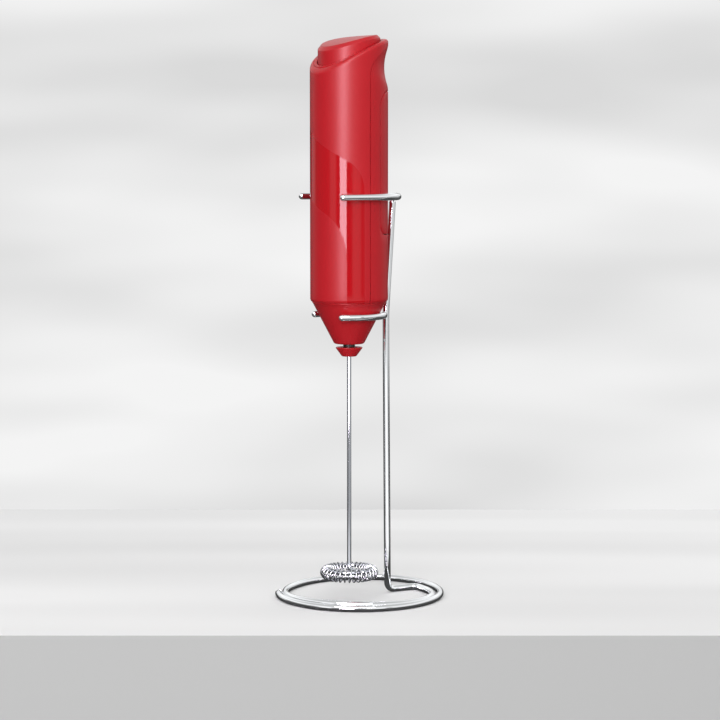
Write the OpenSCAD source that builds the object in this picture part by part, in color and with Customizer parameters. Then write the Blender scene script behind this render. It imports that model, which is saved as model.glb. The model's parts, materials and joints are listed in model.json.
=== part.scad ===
// Battery milk frother standing in a bent-wire stand.
// Millimetres, +Z up. The origin is the centre of the stand's base ring, on the table.
// -Y is the open side of the stand's clips and +Y is the side of its post.

/* [Stand] */
// Diameter of the stand's wire
stand_wire_d = 2.8; // [2.4:0.1:3.2]
// Radius of the base ring's outer turn, at the wire's centre
base_ring_r = 33.8; // [31:0.1:38]
// How far the inner turn of the base rises at its front
base_rise = 1.1; // [0.6:0.1:2]
// Distance of the post's foot behind the ring's centre
post_foot_y = 13.4; // [13:0.1:16]
// Distance of the post's bend behind the ring's centre
post_bend_y = 12.45; // [12.4:0.05:13]
// Distance of the post's top behind the ring's centre
post_top_y = 15.6; // [15:0.1:18]
// Height of the lower clip
lower_clip_z = 117.7; // [116:0.1:118.5]
// Height of the upper clip
upper_clip_z = 166.4; // [156:0.1:180]
// Half of the lower clip's width, at the wire's centre
lower_clip_half = 14.35; // [14.3:0.05:15]
// Half of the upper clip's width, at the wire's centre
upper_clip_half = 17.9; // [17.8:0.05:19]
// How far each arm of the lower clip leans in towards its tip
lower_clip_toe = 15; // [0:1:18]
// How far each arm of the upper clip leans in towards its tip, outwards if negative
upper_clip_toe = -2.5; // [-5:0.5:0]

/* [Handle] */
// Distance of the handle's axis in front of the ring's centre
handle_y = 4.8; // [4:0.1:6]
// Turn of the handle in the stand
handle_yaw = 9; // [0:1:15]
// Outer radius of the handle
handle_r = 16; // [16:0.1:16]
// Wall of the handle
wall = 1.4; // [1.2:0.1:1.6]
// Height of the rim at the handle's axis
rim_z = 226.8; // [225:0.1:228]
// Slope of the rim at the handle's axis, rising towards the back
rim_lean = 22.5; // [18:0.5:25]
// Radius of the arc that the rim follows, seen from the side
rim_arc_r = 62; // [50:1:90]
// Radius of the rounding along the rim
rim_round = 1.3; // [1:0.1:2]
// Height of the crease between the cylinder and the nose cone
crease_z = 123.3; // [122:0.1:124]
// Radius of the nose cone at the crease
cone_top_r = 15.2; // [15:0.1:15.3]
// Height of the nose cone's lower end
cone_bottom_z = 105.9; // [105:0.1:106.5]
// Radius of the nose cone at its lower end
cone_bottom_r = 6.1; // [5.5:0.1:7]
// How far in front of the axis the two shells part
parting_y = 0.9; // [0:0.1:2]
// Gap between neighbouring covers
seam = 0.2; // [0.1:0.01:0.3]
// Height of the rear shell's arched top where it crosses the handle's axis
panel_z = 219.3; // [218:0.1:220]
// Slope of the rear shell's top at the handle's axis
panel_lean = 49.8; // [45:0.1:52]
// Radius of the arc that the rear shell's top follows, seen from the side
panel_arc_r = 25.4; // [24:0.1:30]
// Radius of the corner between the rear shell's top and its upright edge
panel_corner_r = 8; // [5:0.5:9]
// Radius of the thumb notch, seen from the side
notch_r = 20; // [16:0.5:24]
// Depth of the thumb notch at the back
notch_depth = 2; // [1.5:0.05:2.2]
// Height of the middle of the thumb notch
notch_z = 219; // [218:0.5:220]

/* [Battery door] */
// Lower edge of the battery door
door_bottom_z = 151.2; // [150.5:0.1:152]
// Upper edge of the battery door
door_top_z = 209.2; // [208:0.1:209.5]
// How far behind the axis the door's side edges lie
door_edge_y = 4.5; // [3:0.1:6]
// Radius of the door's corners
door_corner_r = 3.8; // [2:0.1:5]

/* [Button] */
// Radius of the button
button_r = 12.75; // [12:0.05:12.8]
// Height of the button's top at the handle's axis
button_z = 230.7; // [230:0.1:231]
// Slope of the button's top at the handle's axis, rising towards the back
button_lean = 12.8; // [10:0.1:15]
// Radius of the arc that the button's top follows, seen from the side
button_arc_r = 74; // [60:1:100]
// Width of the bevel round the button's top
button_bevel = 1.3; // [0.8:0.1:1.6]
// Travel of the button
button_travel = 1.5; // [1:0.1:1.5]

/* [Whisk] */
// Diameter of the whisk's shaft
shaft_d = 1.8; // [1.5:0.1:2]
// Height of the middle of the whisk's coil
coil_z = 10.3; // [9:0.1:12]
// Radius of the ring that the coil is bent into
coil_ring_r = 9.4; // [8:0.1:10]
// Outer diameter of the coil itself
coil_d = 5.5; // [4:0.1:5.6]
// Diameter of the coil's wire
coil_wire_d = 0.6; // [0.4:0.05:0.7]
// Turns of the coil
coil_turns = 32; // [24:1:36]

/* [Hidden] */
$fn = 96;

// Stand
wire_r = stand_wire_d / 2;
bend_r = 3;
turn_gap = 0.1;
inner_turn_r = base_ring_r - stand_wire_d - turn_gap;
foot_back_y = 27.2;
lead_in_r = 20;
lead_in_angle = asin((foot_back_y - lead_in_r) / (inner_turn_r - lead_in_r));
base_end_angle = -118;
base_steps = 80;
swing_sweep = 80;
post_bend_z = lower_clip_z + 0.3;
post_bend_r = 90;
upper_clip_centre_y = post_top_y - upper_clip_half;
upper_clip_tip_y = -handle_y - 12.25;
lower_clip_centre_y = post_bend_y - stand_wire_d - lower_clip_half;
lower_clip_tip_y = -handle_y - 9.55;

// Handle
inner_r = handle_r - wall;
rim_arc = arc_centre(rim_z, rim_lean, rim_arc_r);
panel_arc = arc_centre(panel_z, panel_lean, panel_arc_r);
button_arc = arc_centre(button_z, button_lean, button_arc_r);
roof = 2.2;
high = 250;
cone_lean = atan((cone_top_r - cone_bottom_r) / (crease_z - cone_bottom_z));
cone_foot_round = 1.2;
edge_round = 2.4;
edge_r = cone_top_r + 0.2;
edge_sweep = acos((edge_r - handle_r + edge_round) / edge_round);
nose_floor_z = cone_bottom_z + 2;
nose_bore_r = 2.75;
ledge_z = crease_z + 1.8;
ledge_r = 13.2;
collar_r = button_r + 0.3;
lip_r = inner_r + 0.6;
lip_reach = 1;
lip_bottom_z = crease_z + 8;
lip_top_z = door_top_z + 2;
notch_centre_y = -2.05;
notch_ring_r = handle_r - notch_depth + notch_r - notch_centre_y;

// Battery door
bead_r = 0.55;
bead_w = 5;
door_pivot_y = handle_r - 0.9;
door_pivot_z = door_bottom_z - 0.05;

// Motor, a small flat-sided type
motor_r = 10.1;
motor_half_flat = 7.55;
motor_z = ledge_z + 1.6;
motor_can_h = 19.5;
motor_cap_h = 3.8;
motor_cap_z = motor_z + motor_can_h;
motor_wall = 0.8;
motor_shaft_r = 1;
bush_r = 2.6;
core_r = 6.2;
core_z = motor_z + 3.4;
core_h = 9;
commutator_z = core_z + core_h + 2.2;
commutator_h = 3.6;

// Cells and their contacts
cell_r = 7.1;
cell_x = 7.25;
cell_h = 50.5;
nub_h = 1;
plate_t = 0.4;
tray_r = inner_r - 0.05;
floor_top_z = door_bottom_z + 1.2;
floor_t = 1.5;
cell_bottom_z = floor_top_z + 3.1;
cell_top_z = cell_bottom_z + cell_h;
deck_z = cell_top_z + 3.5;
deck_t = 1.4;
deck_r = tray_r - 0.4;
tray_front_y = -4;
wire_channel_x = 9.3;
wire_channel_y = -9.4;
lead_r = 0.65;
lead_start_x = 11.3;

// Button and switch
button_wall = 1.5;
edge_steps = 60;
flange_r = collar_r + 0.45;
flange_t = 1.4;
button_skirt_drop = 5;
stem_r = 2.6;
switch_z = deck_z + deck_t;
switch_t = 2.1;
switch_top_z = switch_z + switch_t;
stem_bottom_z = switch_z + 1;
spring_seat_z = switch_top_z + 12.5;
actuator_y = -7.5;

// Drive
gap_z = cone_bottom_z - 1.4;
sleeve_r = 2.45;
sleeve_top_z = gap_z + 10;
coupling_top_r = 5.55;
coupling_bottom_r = 3.3;
coupling_bottom_z = gap_z - 3.8;
sleeve_bottom_z = coupling_bottom_z + 1.4;
shaft_r = shaft_d / 2;
shaft_top_z = gap_z + 4;
motor_shaft_z = shaft_top_z + 1.5;
coil_wire_r = coil_wire_d / 2;
coil_tube_r = coil_d / 2 - coil_wire_r;
ring_z = coil_z + coil_tube_r - coil_wire_r - shaft_r;
spoke_bend_r = 2;

plastic_red = [0.72, 0.1, 0.13];
chrome = [0.85, 0.86, 0.88];
steel = [0.68, 0.69, 0.7];
brass = [0.78, 0.62, 0.3];
dark_metal = [0.28, 0.27, 0.27];
natural_plastic = [0.88, 0.87, 0.83];

// ---- Helpers ----

function unit(v) = v / norm(v);

// Centre, in YZ, of an arc that crosses the handle's axis at z and leans back there by lean degrees.
function arc_centre(z, lean, r) = [r * sin(lean), z - r * cos(lean)];
function arc_z(centre, r, y) = centre.y + sqrt(r * r - pow(y - centre.x, 2));
function arc_points(centre, r, from, to, steps) =
    [for (i = [0:steps]) let (a = from + (to - from) * i / steps) centre + r * [cos(a), sin(a)]];

// Places what belongs to the frother on the handle's axis, turned as the handle is.
module in_handle() translate([0, -handle_y, 0]) rotate([0, 0, handle_yaw]) children();

// Turns an XY drawing into the YZ plane: its x is then y, and its y is z.
module in_side_view() rotate([90, 0, 90]) children();

module bar(from, to, r) {
    way = to - from;
    translate(from)
        rotate([0, acos(way.z / norm(way)), atan2(way.y, way.x)])
            cylinder(r = r, h = norm(way));
}

module arc(ring_r, from, to, r)
    rotate([0, 0, from]) rotate_extrude(angle = to - from) translate([ring_r, 0]) circle(r = r);

module ball(at, r) translate(at) sphere(r = r);

module tall(r, from, to) translate([0, 0, from]) cylinder(r = r, h = to - from);

module block(from, to) translate(from) cube(to - from);

// Everything above an arched surface that lies drop below the arc, as seen from the side.
module above(centre, r, drop)
    difference() {
        block([-60, -40, centre.y + r / 2], [60, 40, high + 10]);
        translate([0, centre.x, centre.y - drop]) rotate([0, 90, 0])
            cylinder(r = r, h = 140, center = true, $fn = 240);
    }

// A ring that trims the edge where an upright cylinder meets an arched top.
// profile is drawn from that edge: x is outwards and y is up.
module trim_edge(edge_r, centre, r, profile) {
    sides = len(profile);
    points = [for (i = [0:edge_steps - 1], p = profile) let (a = 360 * i / edge_steps, out = edge_r + p.x)
        [out * cos(a), out * sin(a), arc_z(centre, r, out * sin(a)) + p.y]];
    faces = [for (i = [0:edge_steps - 1], k = [0:sides - 1])
        let (a = i * sides, b = ((i + 1) % edge_steps) * sides, next = (k + 1) % sides)
        each [[a + k, a + next, b + next], [a + k, b + next, b + k]]];
    polyhedron(points = points, faces = faces);
}

// The points of a rounded corner at b, between the straight runs from a and to c.
function corner(a, b, c, r, steps) =
    let (u = unit(a - b), v = unit(c - b), half = acos(u * v) / 2,
         centre = b + unit(u + v) * r / sin(half),
         from = b + u * r / tan(half) - centre,
         to = b + v * r / tan(half) - centre,
         side = r * unit(to - (to * from) * from / (r * r)))
    [for (i = [0:steps]) let (turn = (180 - 2 * half) * i / steps)
        centre + cos(turn) * from + sin(turn) * side];

// A route through corner points, each rounded to radius r.
function route(points, r, steps) =
    let (last = len(points) - 1)
    concat([points[0]],
        [for (i = [1:1:last - 1]) each corner(points[i - 1], points[i], points[i + 1], r, steps)],
        [points[last]]);

// A round tube along a list of points; outs says which way its first side faces at each point.
// r is one radius, or a list with the radius at each point.
module tube(points, outs, r, sides, closed) {
    n = len(points);
    radii = is_list(r) ? r : [for (p = points) r];
    rings = [for (i = [0:n - 1])
        let (ahead = closed ? points[(i + 1) % n] : points[min(i + 1, n - 1)],
             behind = closed ? points[(i + n - 1) % n] : points[max(i - 1, 0)],
             t = unit(ahead - behind),
             u = unit(outs[i] - (outs[i] * t) * t),
             v = cross(t, u))
        [for (k = [0:sides - 1])
            points[i] + radii[i] * (cos(360 * k / sides) * u + sin(360 * k / sides) * v)]];
    walls = [for (i = [0:(closed ? n : n - 1) - 1], k = [0:sides - 1])
        let (a = i * sides, b = ((i + 1) % n) * sides, next = (k + 1) % sides)
        each [[a + k, b + next, a + next], [a + k, b + k, b + next]]];
    caps = closed ? [] :
        [[for (k = [0:sides - 1]) k], [for (k = [sides - 1:-1:0]) (n - 1) * sides + k]];
    polyhedron(points = [for (ring = rings) each ring], faces = concat(walls, caps));
}

// A compression spring whose last turns lie flat; its radius may change from bottom to top.
module spring(bottom_r, top_r, bottom, top, turns, wire_d, steps) {
    n = turns * steps;
    flat = 0.75 / turns;
    rise = top - bottom - wire_d;
    points = [for (i = [0:n])
        let (s = i / n, a = 360 * turns * s,
             r = bottom_r + (top_r - bottom_r) * s,
             up = min(max((s - flat) / (1 - 2 * flat), 0), 1))
        [r * cos(a), r * sin(a), bottom + wire_d / 2 + rise * up + 0.15 * (s - up)]];
    outs = [for (i = [0:n]) let (a = 360 * turns * i / n) [cos(a), sin(a), 0]];
    tube(points, outs, wire_d / 2, 6, false);
}

// ---- Stand ----

// The post, from its top down to the foot and back along the table to the kink.
function post_route() =
    let (top = [0, post_top_y, upper_clip_z - wire_r + 0.2],
         bend = [0, post_bend_y, post_bend_z],
         foot = [0, post_foot_y, wire_r],
         kink = [0, foot_back_y, wire_r])
    concat([top], corner(top, bend, foot, post_bend_r, 4),
        corner(bend, foot, kink, bend_r, 6),
        corner(foot, kink, kink + [20, 0, 0], bend_r, 6));

// One and a half turns: the first half lies inside and a little higher, then the wire swings out.
function base_turn_point(angle) =
    let (along_inner = min((lead_in_angle - angle) / 180, 1),
         swing = min(max((lead_in_angle - 180 - angle) / swing_sweep, 0), 1),
         r = inner_turn_r + (base_ring_r - inner_turn_r) * swing * swing * (3 - 2 * swing))
    [r * cos(angle), r * sin(angle), wire_r + base_rise * pow(sin(180 * along_inner), 2)];

module stand_wire() color(chrome) {
    lead_in = (inner_turn_r - lead_in_r) * [cos(lead_in_angle), sin(lead_in_angle)];
    sweep = lead_in_angle - base_end_angle + 360;
    points = concat(post_route(),
        [for (p = arc_points(lead_in, lead_in_r, 90, lead_in_angle + 6, 6)) [p.x, p.y, wire_r]],
        [for (i = [0:base_steps]) base_turn_point(lead_in_angle - sweep * i / base_steps)],
        [base_turn_point(base_end_angle - 360.8)]);
    tube(points, [for (p = points) p.z > wire_r + bend_r ? [1, 0, 0] : [1, 0, 2]], wire_r, 16, false);
}

// A U of wire with domed ends; its arms point forwards and lean in by toe degrees.
module clip(half, centre_y, tip_y, z, toe) {
    reach = (centre_y - half * sin(toe) - tip_y) / cos(toe);
    bend = [half * cos(toe), centre_y - half * sin(toe), z];
    right_arm = [for (a = [75:-25:0]) bend - (reach + wire_r * sin(a)) * [sin(toe), cos(toe), 0]];
    left_arm = [for (i = [3:-1:0]) [-right_arm[i].x, right_arm[i].y, z]];
    bow = [for (p = arc_points([0, centre_y], half, -toe, 180 + toe, 24)) [p.x, p.y, z]];
    points = concat(right_arm, bow, left_arm);
    narrowing = [for (i = [0:len(points) - 1]) cos(25 * max(3 - i, 3 + i + 1 - len(points), 0))];
    tube(points, [for (p = points) [0, 0, 1]], wire_r * narrowing, 16, false);
}

module upper_clip() color(chrome)
    clip(upper_clip_half, upper_clip_centre_y, upper_clip_tip_y, upper_clip_z, upper_clip_toe);

module lower_clip() color(chrome)
    clip(lower_clip_half, lower_clip_centre_y, lower_clip_tip_y, lower_clip_z, lower_clip_toe);

// ---- Handle ----

function cone_r_at(z) = cone_bottom_r + (z - cone_bottom_z) * tan(cone_lean);

// The handle's outside below the rim: nose cone, crease, rounded lower edge and cylinder.
module handle_outside()
    rotate_extrude() polygon(concat(
        [[0, cone_bottom_z]],
        arc_points([cone_r_at(cone_bottom_z + cone_foot_round) - cone_foot_round / cos(cone_lean),
            cone_bottom_z + cone_foot_round], cone_foot_round, -90, -cone_lean, 4),
        [[cone_top_r, crease_z - 0.3], [cone_top_r - 0.2, crease_z - 0.2], [cone_top_r - 0.2, crease_z]],
        arc_points([handle_r - edge_round, crease_z + 0.1 + edge_round * sin(edge_sweep)],
            edge_round, -edge_sweep, 0, 4),
        [[handle_r, high], [0, high]]));

// The room inside the handle, up to the roof round the button.
module handle_inside() difference() {
    slack = wall / cos(cone_lean);
    rotate_extrude() polygon([
        [0, nose_floor_z],
        [cone_r_at(nose_floor_z) - slack, nose_floor_z],
        [ledge_r, cone_bottom_z + (ledge_r + slack - cone_bottom_r) / tan(cone_lean)],
        [ledge_r, ledge_z],
        [inner_r, ledge_z],
        [inner_r, high],
        [0, high]]);
    above(rim_arc, rim_arc_r, roof);
}

module thumb_notch(grow)
    translate([0, notch_centre_y, notch_z])
        rotate_extrude() translate([notch_ring_r, 0]) circle(r = notch_r + grow);

// All that the rear shell may fill: an upright front edge, an arched top and a rounded corner between them.
module rear_zone(grow) {
    front_y = -parting_y - grow;
    corner_r = panel_corner_r + grow;
    top_r = panel_arc_r + grow;
    corner_y = front_y + corner_r;
    corner = [corner_y, panel_arc.y + sqrt(pow(top_r - corner_r, 2) - pow(panel_arc.x - corner_y, 2))];
    in_side_view() translate([0, 0, -30]) {
        linear_extrude(60) translate([front_y, 90]) square([40, corner.y - 90]);
        translate(corner) cylinder(r = corner_r, h = 60);
        intersection() {
            translate(panel_arc) cylinder(r = top_r, h = 60);
            linear_extrude(60) polygon([corner - [0, 5], corner, corner + 20 * unit(corner - panel_arc),
                [40, high], [40, corner.y - 5]]);
        }
    }
}

// The thin lip inside each side seam that keeps the two shells in line.
module seam_lip(grow) difference() {
    intersection() {
        tall(lip_r + grow, lip_bottom_z - grow, lip_top_z + grow);
        block([-20, -parting_y - seam - 2, 0], [20, -parting_y + lip_reach + grow, high]);
    }
    tall(inner_r - grow, 0, high);
}

// The battery door's outline from the side, with rounded corners on its upright edge.
module door_outline(grow) {
    edge_y = door_edge_y - grow;
    low = door_bottom_z - grow;
    up = door_top_z + grow;
    r = door_corner_r + grow;
    translate([edge_y, low + r]) square([30, up - low - 2 * r]);
    translate([edge_y + r, low]) square([30, up - low]);
    for (z = [low + r, up - r]) translate([edge_y + r, z]) circle(r = r);
}

module door_zone(grow)
    in_side_view() translate([0, 0, -30]) linear_extrude(60) door_outline(grow);

module front_shell() color(plastic_red) in_handle() {
    difference() {
        handle_outside();
        handle_inside();
        above(rim_arc, rim_arc_r, 0);
        trim_edge(handle_r, rim_arc, rim_arc_r, concat([[-rim_round - 0.3, 0.06]],
            arc_points([-rim_round, -rim_round], rim_round, 67.5, 22.5, 2),
            [[0.25, -1.4 * rim_round], [1, 1]]));
        tall(collar_r, 205, high);
        tall(nose_bore_r, cone_bottom_z - 1, nose_floor_z + 1);
        rear_zone(seam);
    }
    seam_lip(0);
}

module rear_shell() color(plastic_red) in_handle() difference() {
    intersection() {
        difference() {
            handle_outside();
            thumb_notch(0);
        }
        rear_zone(0);
    }
    difference() {
        handle_inside();
        thumb_notch(wall);
    }
    tall(nose_bore_r, cone_bottom_z - 1, nose_floor_z + 1);
    door_zone(seam);
    seam_lip(0.15);
    door_bead(0.15);
}

// The round bead along the door's foot, on which the door tilts.
module door_bead(grow)
    translate([0, door_pivot_y, door_pivot_z]) rotate([0, 90, 0])
        cylinder(r = bead_r + grow, h = bead_w + 2 * grow, center = true);

// The door: a piece of the wall, thinned along its top so that it can tilt out, on a bead and two tongues.
module battery_door() color(plastic_red) in_handle() {
    tongue_w = 4;
    door_bead(0);
    difference() {
        tall(handle_r, door_bottom_z - 5, door_top_z + 5);
        tall(inner_r, door_bottom_z - 6, door_top_z + 6);
        difference() {
            block([-30, -30, door_bottom_z - 10], [30, 30, door_top_z + 10]);
            door_zone(-seam);
        }
        rotate_extrude() polygon([[inner_r - 1, door_top_z - 1.4], [handle_r - 0.2, door_top_z - 0.2],
            [handle_r - 0.2, door_top_z + 1], [inner_r - 1, door_top_z + 1]]);
    }
    for (side = [-1, 1]) difference() {
        intersection() {
            union() {
                tall(inner_r - 0.05, door_bottom_z - 2, door_bottom_z + 3);
                tall(inner_r + 0.3, door_bottom_z + 0.5, door_bottom_z + 3);
            }
            block([side * 6 - tongue_w / 2, 5, 0], [side * 6 + tongue_w / 2, 20, high]);
        }
        tall(inner_r - 1.2, door_bottom_z - 3, door_bottom_z + 4);
    }
}

// What lies between two surfaces parallel to the rim, within a cylinder.
module rim_slab(r, from_drop, to_drop) difference() {
    intersection() {
        tall(r, 200, high);
        above(rim_arc, rim_arc_r, from_drop);
    }
    above(rim_arc, rim_arc_r, to_drop);
}

module power_button() color(plastic_red) in_handle() {
    difference() {
        union() {
            intersection() {
                tall(button_r, 200, high);
                above(rim_arc, rim_arc_r, button_skirt_drop);
            }
            rim_slab(flange_r, roof + 0.3 + flange_t, roof + 0.3);
        }
        above(button_arc, button_arc_r, 0);
        trim_edge(button_r, button_arc, button_arc_r,
            [[-button_bevel - 0.06, 0.06], [0.25, -button_bevel - 0.25], [1, 1]]);
        difference() {
            tall(button_r - button_wall, 190, 240);
            above(button_arc, button_arc_r, 1.8);
            tall(5, spring_seat_z, 240);
            tall(stem_r, stem_bottom_z, 240);
        }
    }
    tall(stem_r, stem_bottom_z, spring_seat_z + 1);
    translate([0, actuator_y, 0]) tall(1.2, switch_top_z + 2 * button_travel, button_z - 3);
}

// ---- Switch ----

module button_spring() color(steel) in_handle()
    spring(3.9, 3.9, switch_top_z, spring_seat_z, 7, 0.6, 14);

module switch_base() color(natural_plastic) in_handle() difference() {
    tall(11.4, switch_z, switch_top_z);
    tall(stem_r + 0.3, switch_z - 1, switch_top_z + 1);
    translate([wire_channel_x, wire_channel_y, 0]) tall(2.6, switch_z - 1, switch_top_z + 1);
    translate([-wire_channel_x, wire_channel_y, 0]) tall(2.6, switch_z - 1, switch_top_z + 1);
}

// A bent strip, drawn from the front and given its width along Y.
module strip(outline, width)
    translate([0, actuator_y + width / 2, 0]) rotate([90, 0, 0]) linear_extrude(width) polygon(outline);

module switch_leaf() color(brass) in_handle()
    strip([[-7.5, switch_top_z], [-5, switch_top_z], [-3.6, switch_top_z + 2.3], [1.6, switch_top_z + 2.6],
        [1.6, switch_top_z + 2.9], [-3.8, switch_top_z + 2.6], [-5.2, switch_top_z + 0.3],
        [-7.5, switch_top_z + 0.3]], 3);

module switch_contact() color(brass) in_handle() {
    strip([[-1.5, switch_top_z], [7, switch_top_z],
        [7, switch_top_z + 0.3], [-1.5, switch_top_z + 0.3]], 3);
    translate([0.4, actuator_y, 0]) tall(1, switch_top_z + 0.3, switch_top_z + 1);
}

// ---- Cells ----

module battery_tray() color(natural_plastic) in_handle() difference() {
    union() {
        tall(tray_r, floor_top_z - floor_t, floor_top_z);
        tall(deck_r, deck_z, deck_z + deck_t);
        intersection() {
            tall(tray_r, floor_top_z, deck_z);
            block([-20, -20, 0], [20, tray_front_y, high]);
        }
    }
    for (side = [-1, 1]) {
        translate([side * cell_x, 0, 0]) tall(cell_r + 0.15, floor_top_z, deck_z);
        translate([side * wire_channel_x, wire_channel_y, 0]) tall(lead_r + 0.4, floor_top_z - 3, high);
    }
    tall(stem_r + 0.6, deck_z - 1, high);
    block([-9, 10.2, floor_top_z - 3], [9, 20, floor_top_z + 1]);
    block([wire_channel_x - 1.1, wire_channel_y, floor_top_z], [12.4, tray_front_y + 1, floor_top_z + 6]);
}

// An AA cell; up tells which end holds the positive button.
module cell(x, up) in_handle() translate([x, 0, cell_bottom_z]) {
    body_z = up ? 0 : nub_h;
    nub_z = up ? cell_h - nub_h : 0;
    color([0.2, 0.2, 0.22]) tall(cell_r, body_z, body_z + cell_h - nub_h);
    color(chrome) tall(2.7, nub_z, nub_z + nub_h);
}

module battery_left() cell(-cell_x, true);

module battery_right() cell(cell_x, false);

// A plate with a pad pressed out of it towards a cell's button.
module contact_plate(from_x, to_x, pad_x, z, pad_from, pad_to) {
    block([from_x, -4, z], [to_x, 4, z + plate_t]);
    translate([pad_x, 0, 0]) tall(2.4, pad_from, pad_to);
}

module upper_contact_plate() color(brass) in_handle()
    contact_plate(-11.5, 11.5, -cell_x, deck_z - plate_t, cell_top_z, deck_z - plate_t);

module upper_contact_spring() color(steel) in_handle()
    translate([cell_x, 0, 0]) spring(2.4, 4.2, cell_top_z, deck_z - plate_t, 3, 0.6, 12);

module lower_contact_plate() color(brass) in_handle()
    contact_plate(2.5, 11.5, cell_x, floor_top_z, floor_top_z + plate_t, cell_bottom_z);

module lower_contact_spring() color(steel) in_handle() {
    translate([-cell_x, 0, 0]) spring(4.2, 2.4, floor_top_z, cell_bottom_z, 3, 0.6, 12);
}

// ---- Motor ----

module motor_body(r, half_flat, from, to) intersection() {
    tall(r, from, to);
    block([-20, -half_flat, from], [20, half_flat, to]);
}

module motor_mount() color(natural_plastic) in_handle() {
    difference() {
        tall(tray_r, ledge_z, motor_z);
        tall(3.3, ledge_z - 1, motor_z + 1);
    }
    for (side = [-1, 1]) difference() {
        intersection() {
            tall(tray_r, motor_z, motor_z + 14);
            block([-7, min(side * motor_half_flat, side * 9.4), motor_z],
                [7, max(side * motor_half_flat, side * 9.4), motor_z + 14]);
        }
        translate([0, 0, motor_z + 8]) rotate([90, 0, 0]) cylinder(r = 3, h = 40, center = true);
    }
}

module motor_can() color(steel) in_handle() {
    difference() {
        motor_body(motor_r, motor_half_flat, motor_z, motor_cap_z);
        motor_body(motor_r - motor_wall, motor_half_flat - motor_wall,
            motor_z + motor_wall, motor_cap_z + 1);
        tall(bush_r, motor_z - 1, motor_z + 2);
    }
}

module motor_end_cap() color([0.93, 0.92, 0.88]) in_handle() difference() {
    motor_body(motor_r, motor_half_flat, motor_cap_z, motor_cap_z + motor_cap_h);
    motor_body(motor_r - 2, motor_half_flat - 1.5, motor_cap_z - 1, motor_cap_z + 1.4);
    tall(bush_r, motor_cap_z, motor_cap_z + 10);
}

module motor_magnets() color(dark_metal) in_handle() difference() {
    tall(motor_r - motor_wall, core_z - 1, core_z + core_h + 1);
    tall(core_r + 0.4, core_z - 2, core_z + core_h + 2);
    block([-4, -20, 0], [4, 20, high]);
    for (side = [-1, 1])
        block([-20, side * 20 - 20 + side * (motor_half_flat - motor_wall), 0],
            [20, side * 20 + 20 + side * (motor_half_flat - motor_wall), high]);
}

module motor_terminals() color(brass) in_handle()
    for (side = [-1, 1]) block([side * (motor_r + 0.25) - 0.25, -1.3, motor_cap_z + 0.6],
        [side * (motor_r + 0.25) + 0.25, 1.3, motor_cap_z + motor_cap_h + 0.3]);

module motor_bushes() color(brass) in_handle()
    for (z = [[motor_z - 1.2, motor_z + 2.4], [motor_cap_z + 1.6, motor_cap_z + motor_cap_h]])
        difference() {
            tall(bush_r, z[0], z[1]);
            tall(motor_shaft_r + 0.05, z[0] - 1, z[1] + 1);
        }

module motor_brushes() color(dark_metal) in_handle()
    for (side = [-1, 1])
        block([-1, side > 0 ? 2.5 : -motor_half_flat + motor_wall, commutator_z + 0.8],
            [1, side > 0 ? motor_half_flat - motor_wall : -2.5, commutator_z + 2.8]);

module motor_shaft() color(steel) in_handle()
    tall(motor_shaft_r, motor_shaft_z, motor_cap_z + motor_cap_h - 0.3);

// Three poles: a hub, three arms and three shoes that run close to the magnets.
module armature_core() color([0.5, 0.5, 0.52]) in_handle() difference() {
    union() {
        tall(2.4, core_z, core_z + core_h);
        for (turn = [0, 120, 240]) rotate([0, 0, turn]) {
            block([1.5, -1, core_z], [5.2, 1, core_z + core_h]);
            rotate([0, 0, -46]) rotate_extrude(angle = 92)
                translate([core_r - 1.1, core_z]) square([1.1, core_h]);
        }
    }
    tall(motor_shaft_r, core_z - 1, core_z + core_h + 1);
}

module armature_windings() color([0.72, 0.4, 0.2]) in_handle()
    for (turn = [0, 120, 240]) rotate([0, 0, turn]) difference() {
        block([2.7, -2.2, core_z - 1.2], [4.5, 2.2, core_z + core_h + 1.2]);
        block([2.6, -1, core_z], [5, 1, core_z + core_h]);
    }

module commutator() color([0.75, 0.45, 0.25]) in_handle() difference() {
    tall(2.4, commutator_z, commutator_z + commutator_h);
    tall(motor_shaft_r, commutator_z - 1, commutator_z + commutator_h + 1);
    for (turn = [60, 180, 300]) rotate([0, 0, turn])
        block([1.8, -0.2, commutator_z - 1], [3, 0.2, commutator_z + commutator_h + 1]);
}

// ---- Leads ----

module lead(points) {
    path = route(points, 1, 3);
    tube(path, [for (p = path) [0.3, 1, 0.2]], lead_r, 8, false);
}

module lead_wire_red() color([0.8, 0.1, 0.1]) in_handle()
    lead([[11.5, -3.4, floor_top_z + 1], [wire_channel_x, wire_channel_y, floor_top_z + 4],
        [wire_channel_x, wire_channel_y, switch_top_z + 1], [7, actuator_y, switch_top_z + 0.9]]);

module lead_wire_white() color([0.9, 0.9, 0.88]) in_handle()
    lead([[-lead_start_x, 0, motor_cap_z + 1.5], [-lead_start_x, -4, motor_cap_z + 1.5],
        [-wire_channel_x, wire_channel_y, floor_top_z - floor_t - 1.2],
        [-wire_channel_x, wire_channel_y, switch_top_z + 1], [-7.2, actuator_y, switch_top_z + 0.9]]);

module lead_wire_black() color([0.1, 0.1, 0.1]) in_handle()
    lead([[lead_start_x, 0, motor_cap_z + 1.5], [11, 5.5, motor_cap_z + 1.5],
        [5.5, 10.6, motor_cap_z + 1.5], [-4, 10.5, motor_cap_z + 2.5],
        [-cell_x, 9.5, floor_top_z - floor_t - lead_r]]);

// ---- Drive and whisk ----

module drive_sleeve() color(dark_metal) in_handle() difference() {
    tall(sleeve_r, sleeve_bottom_z, sleeve_top_z);
    tall(motor_shaft_r, motor_shaft_z, sleeve_top_z + 1);
    tall(shaft_r, sleeve_bottom_z - 1, shaft_top_z);
}

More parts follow.
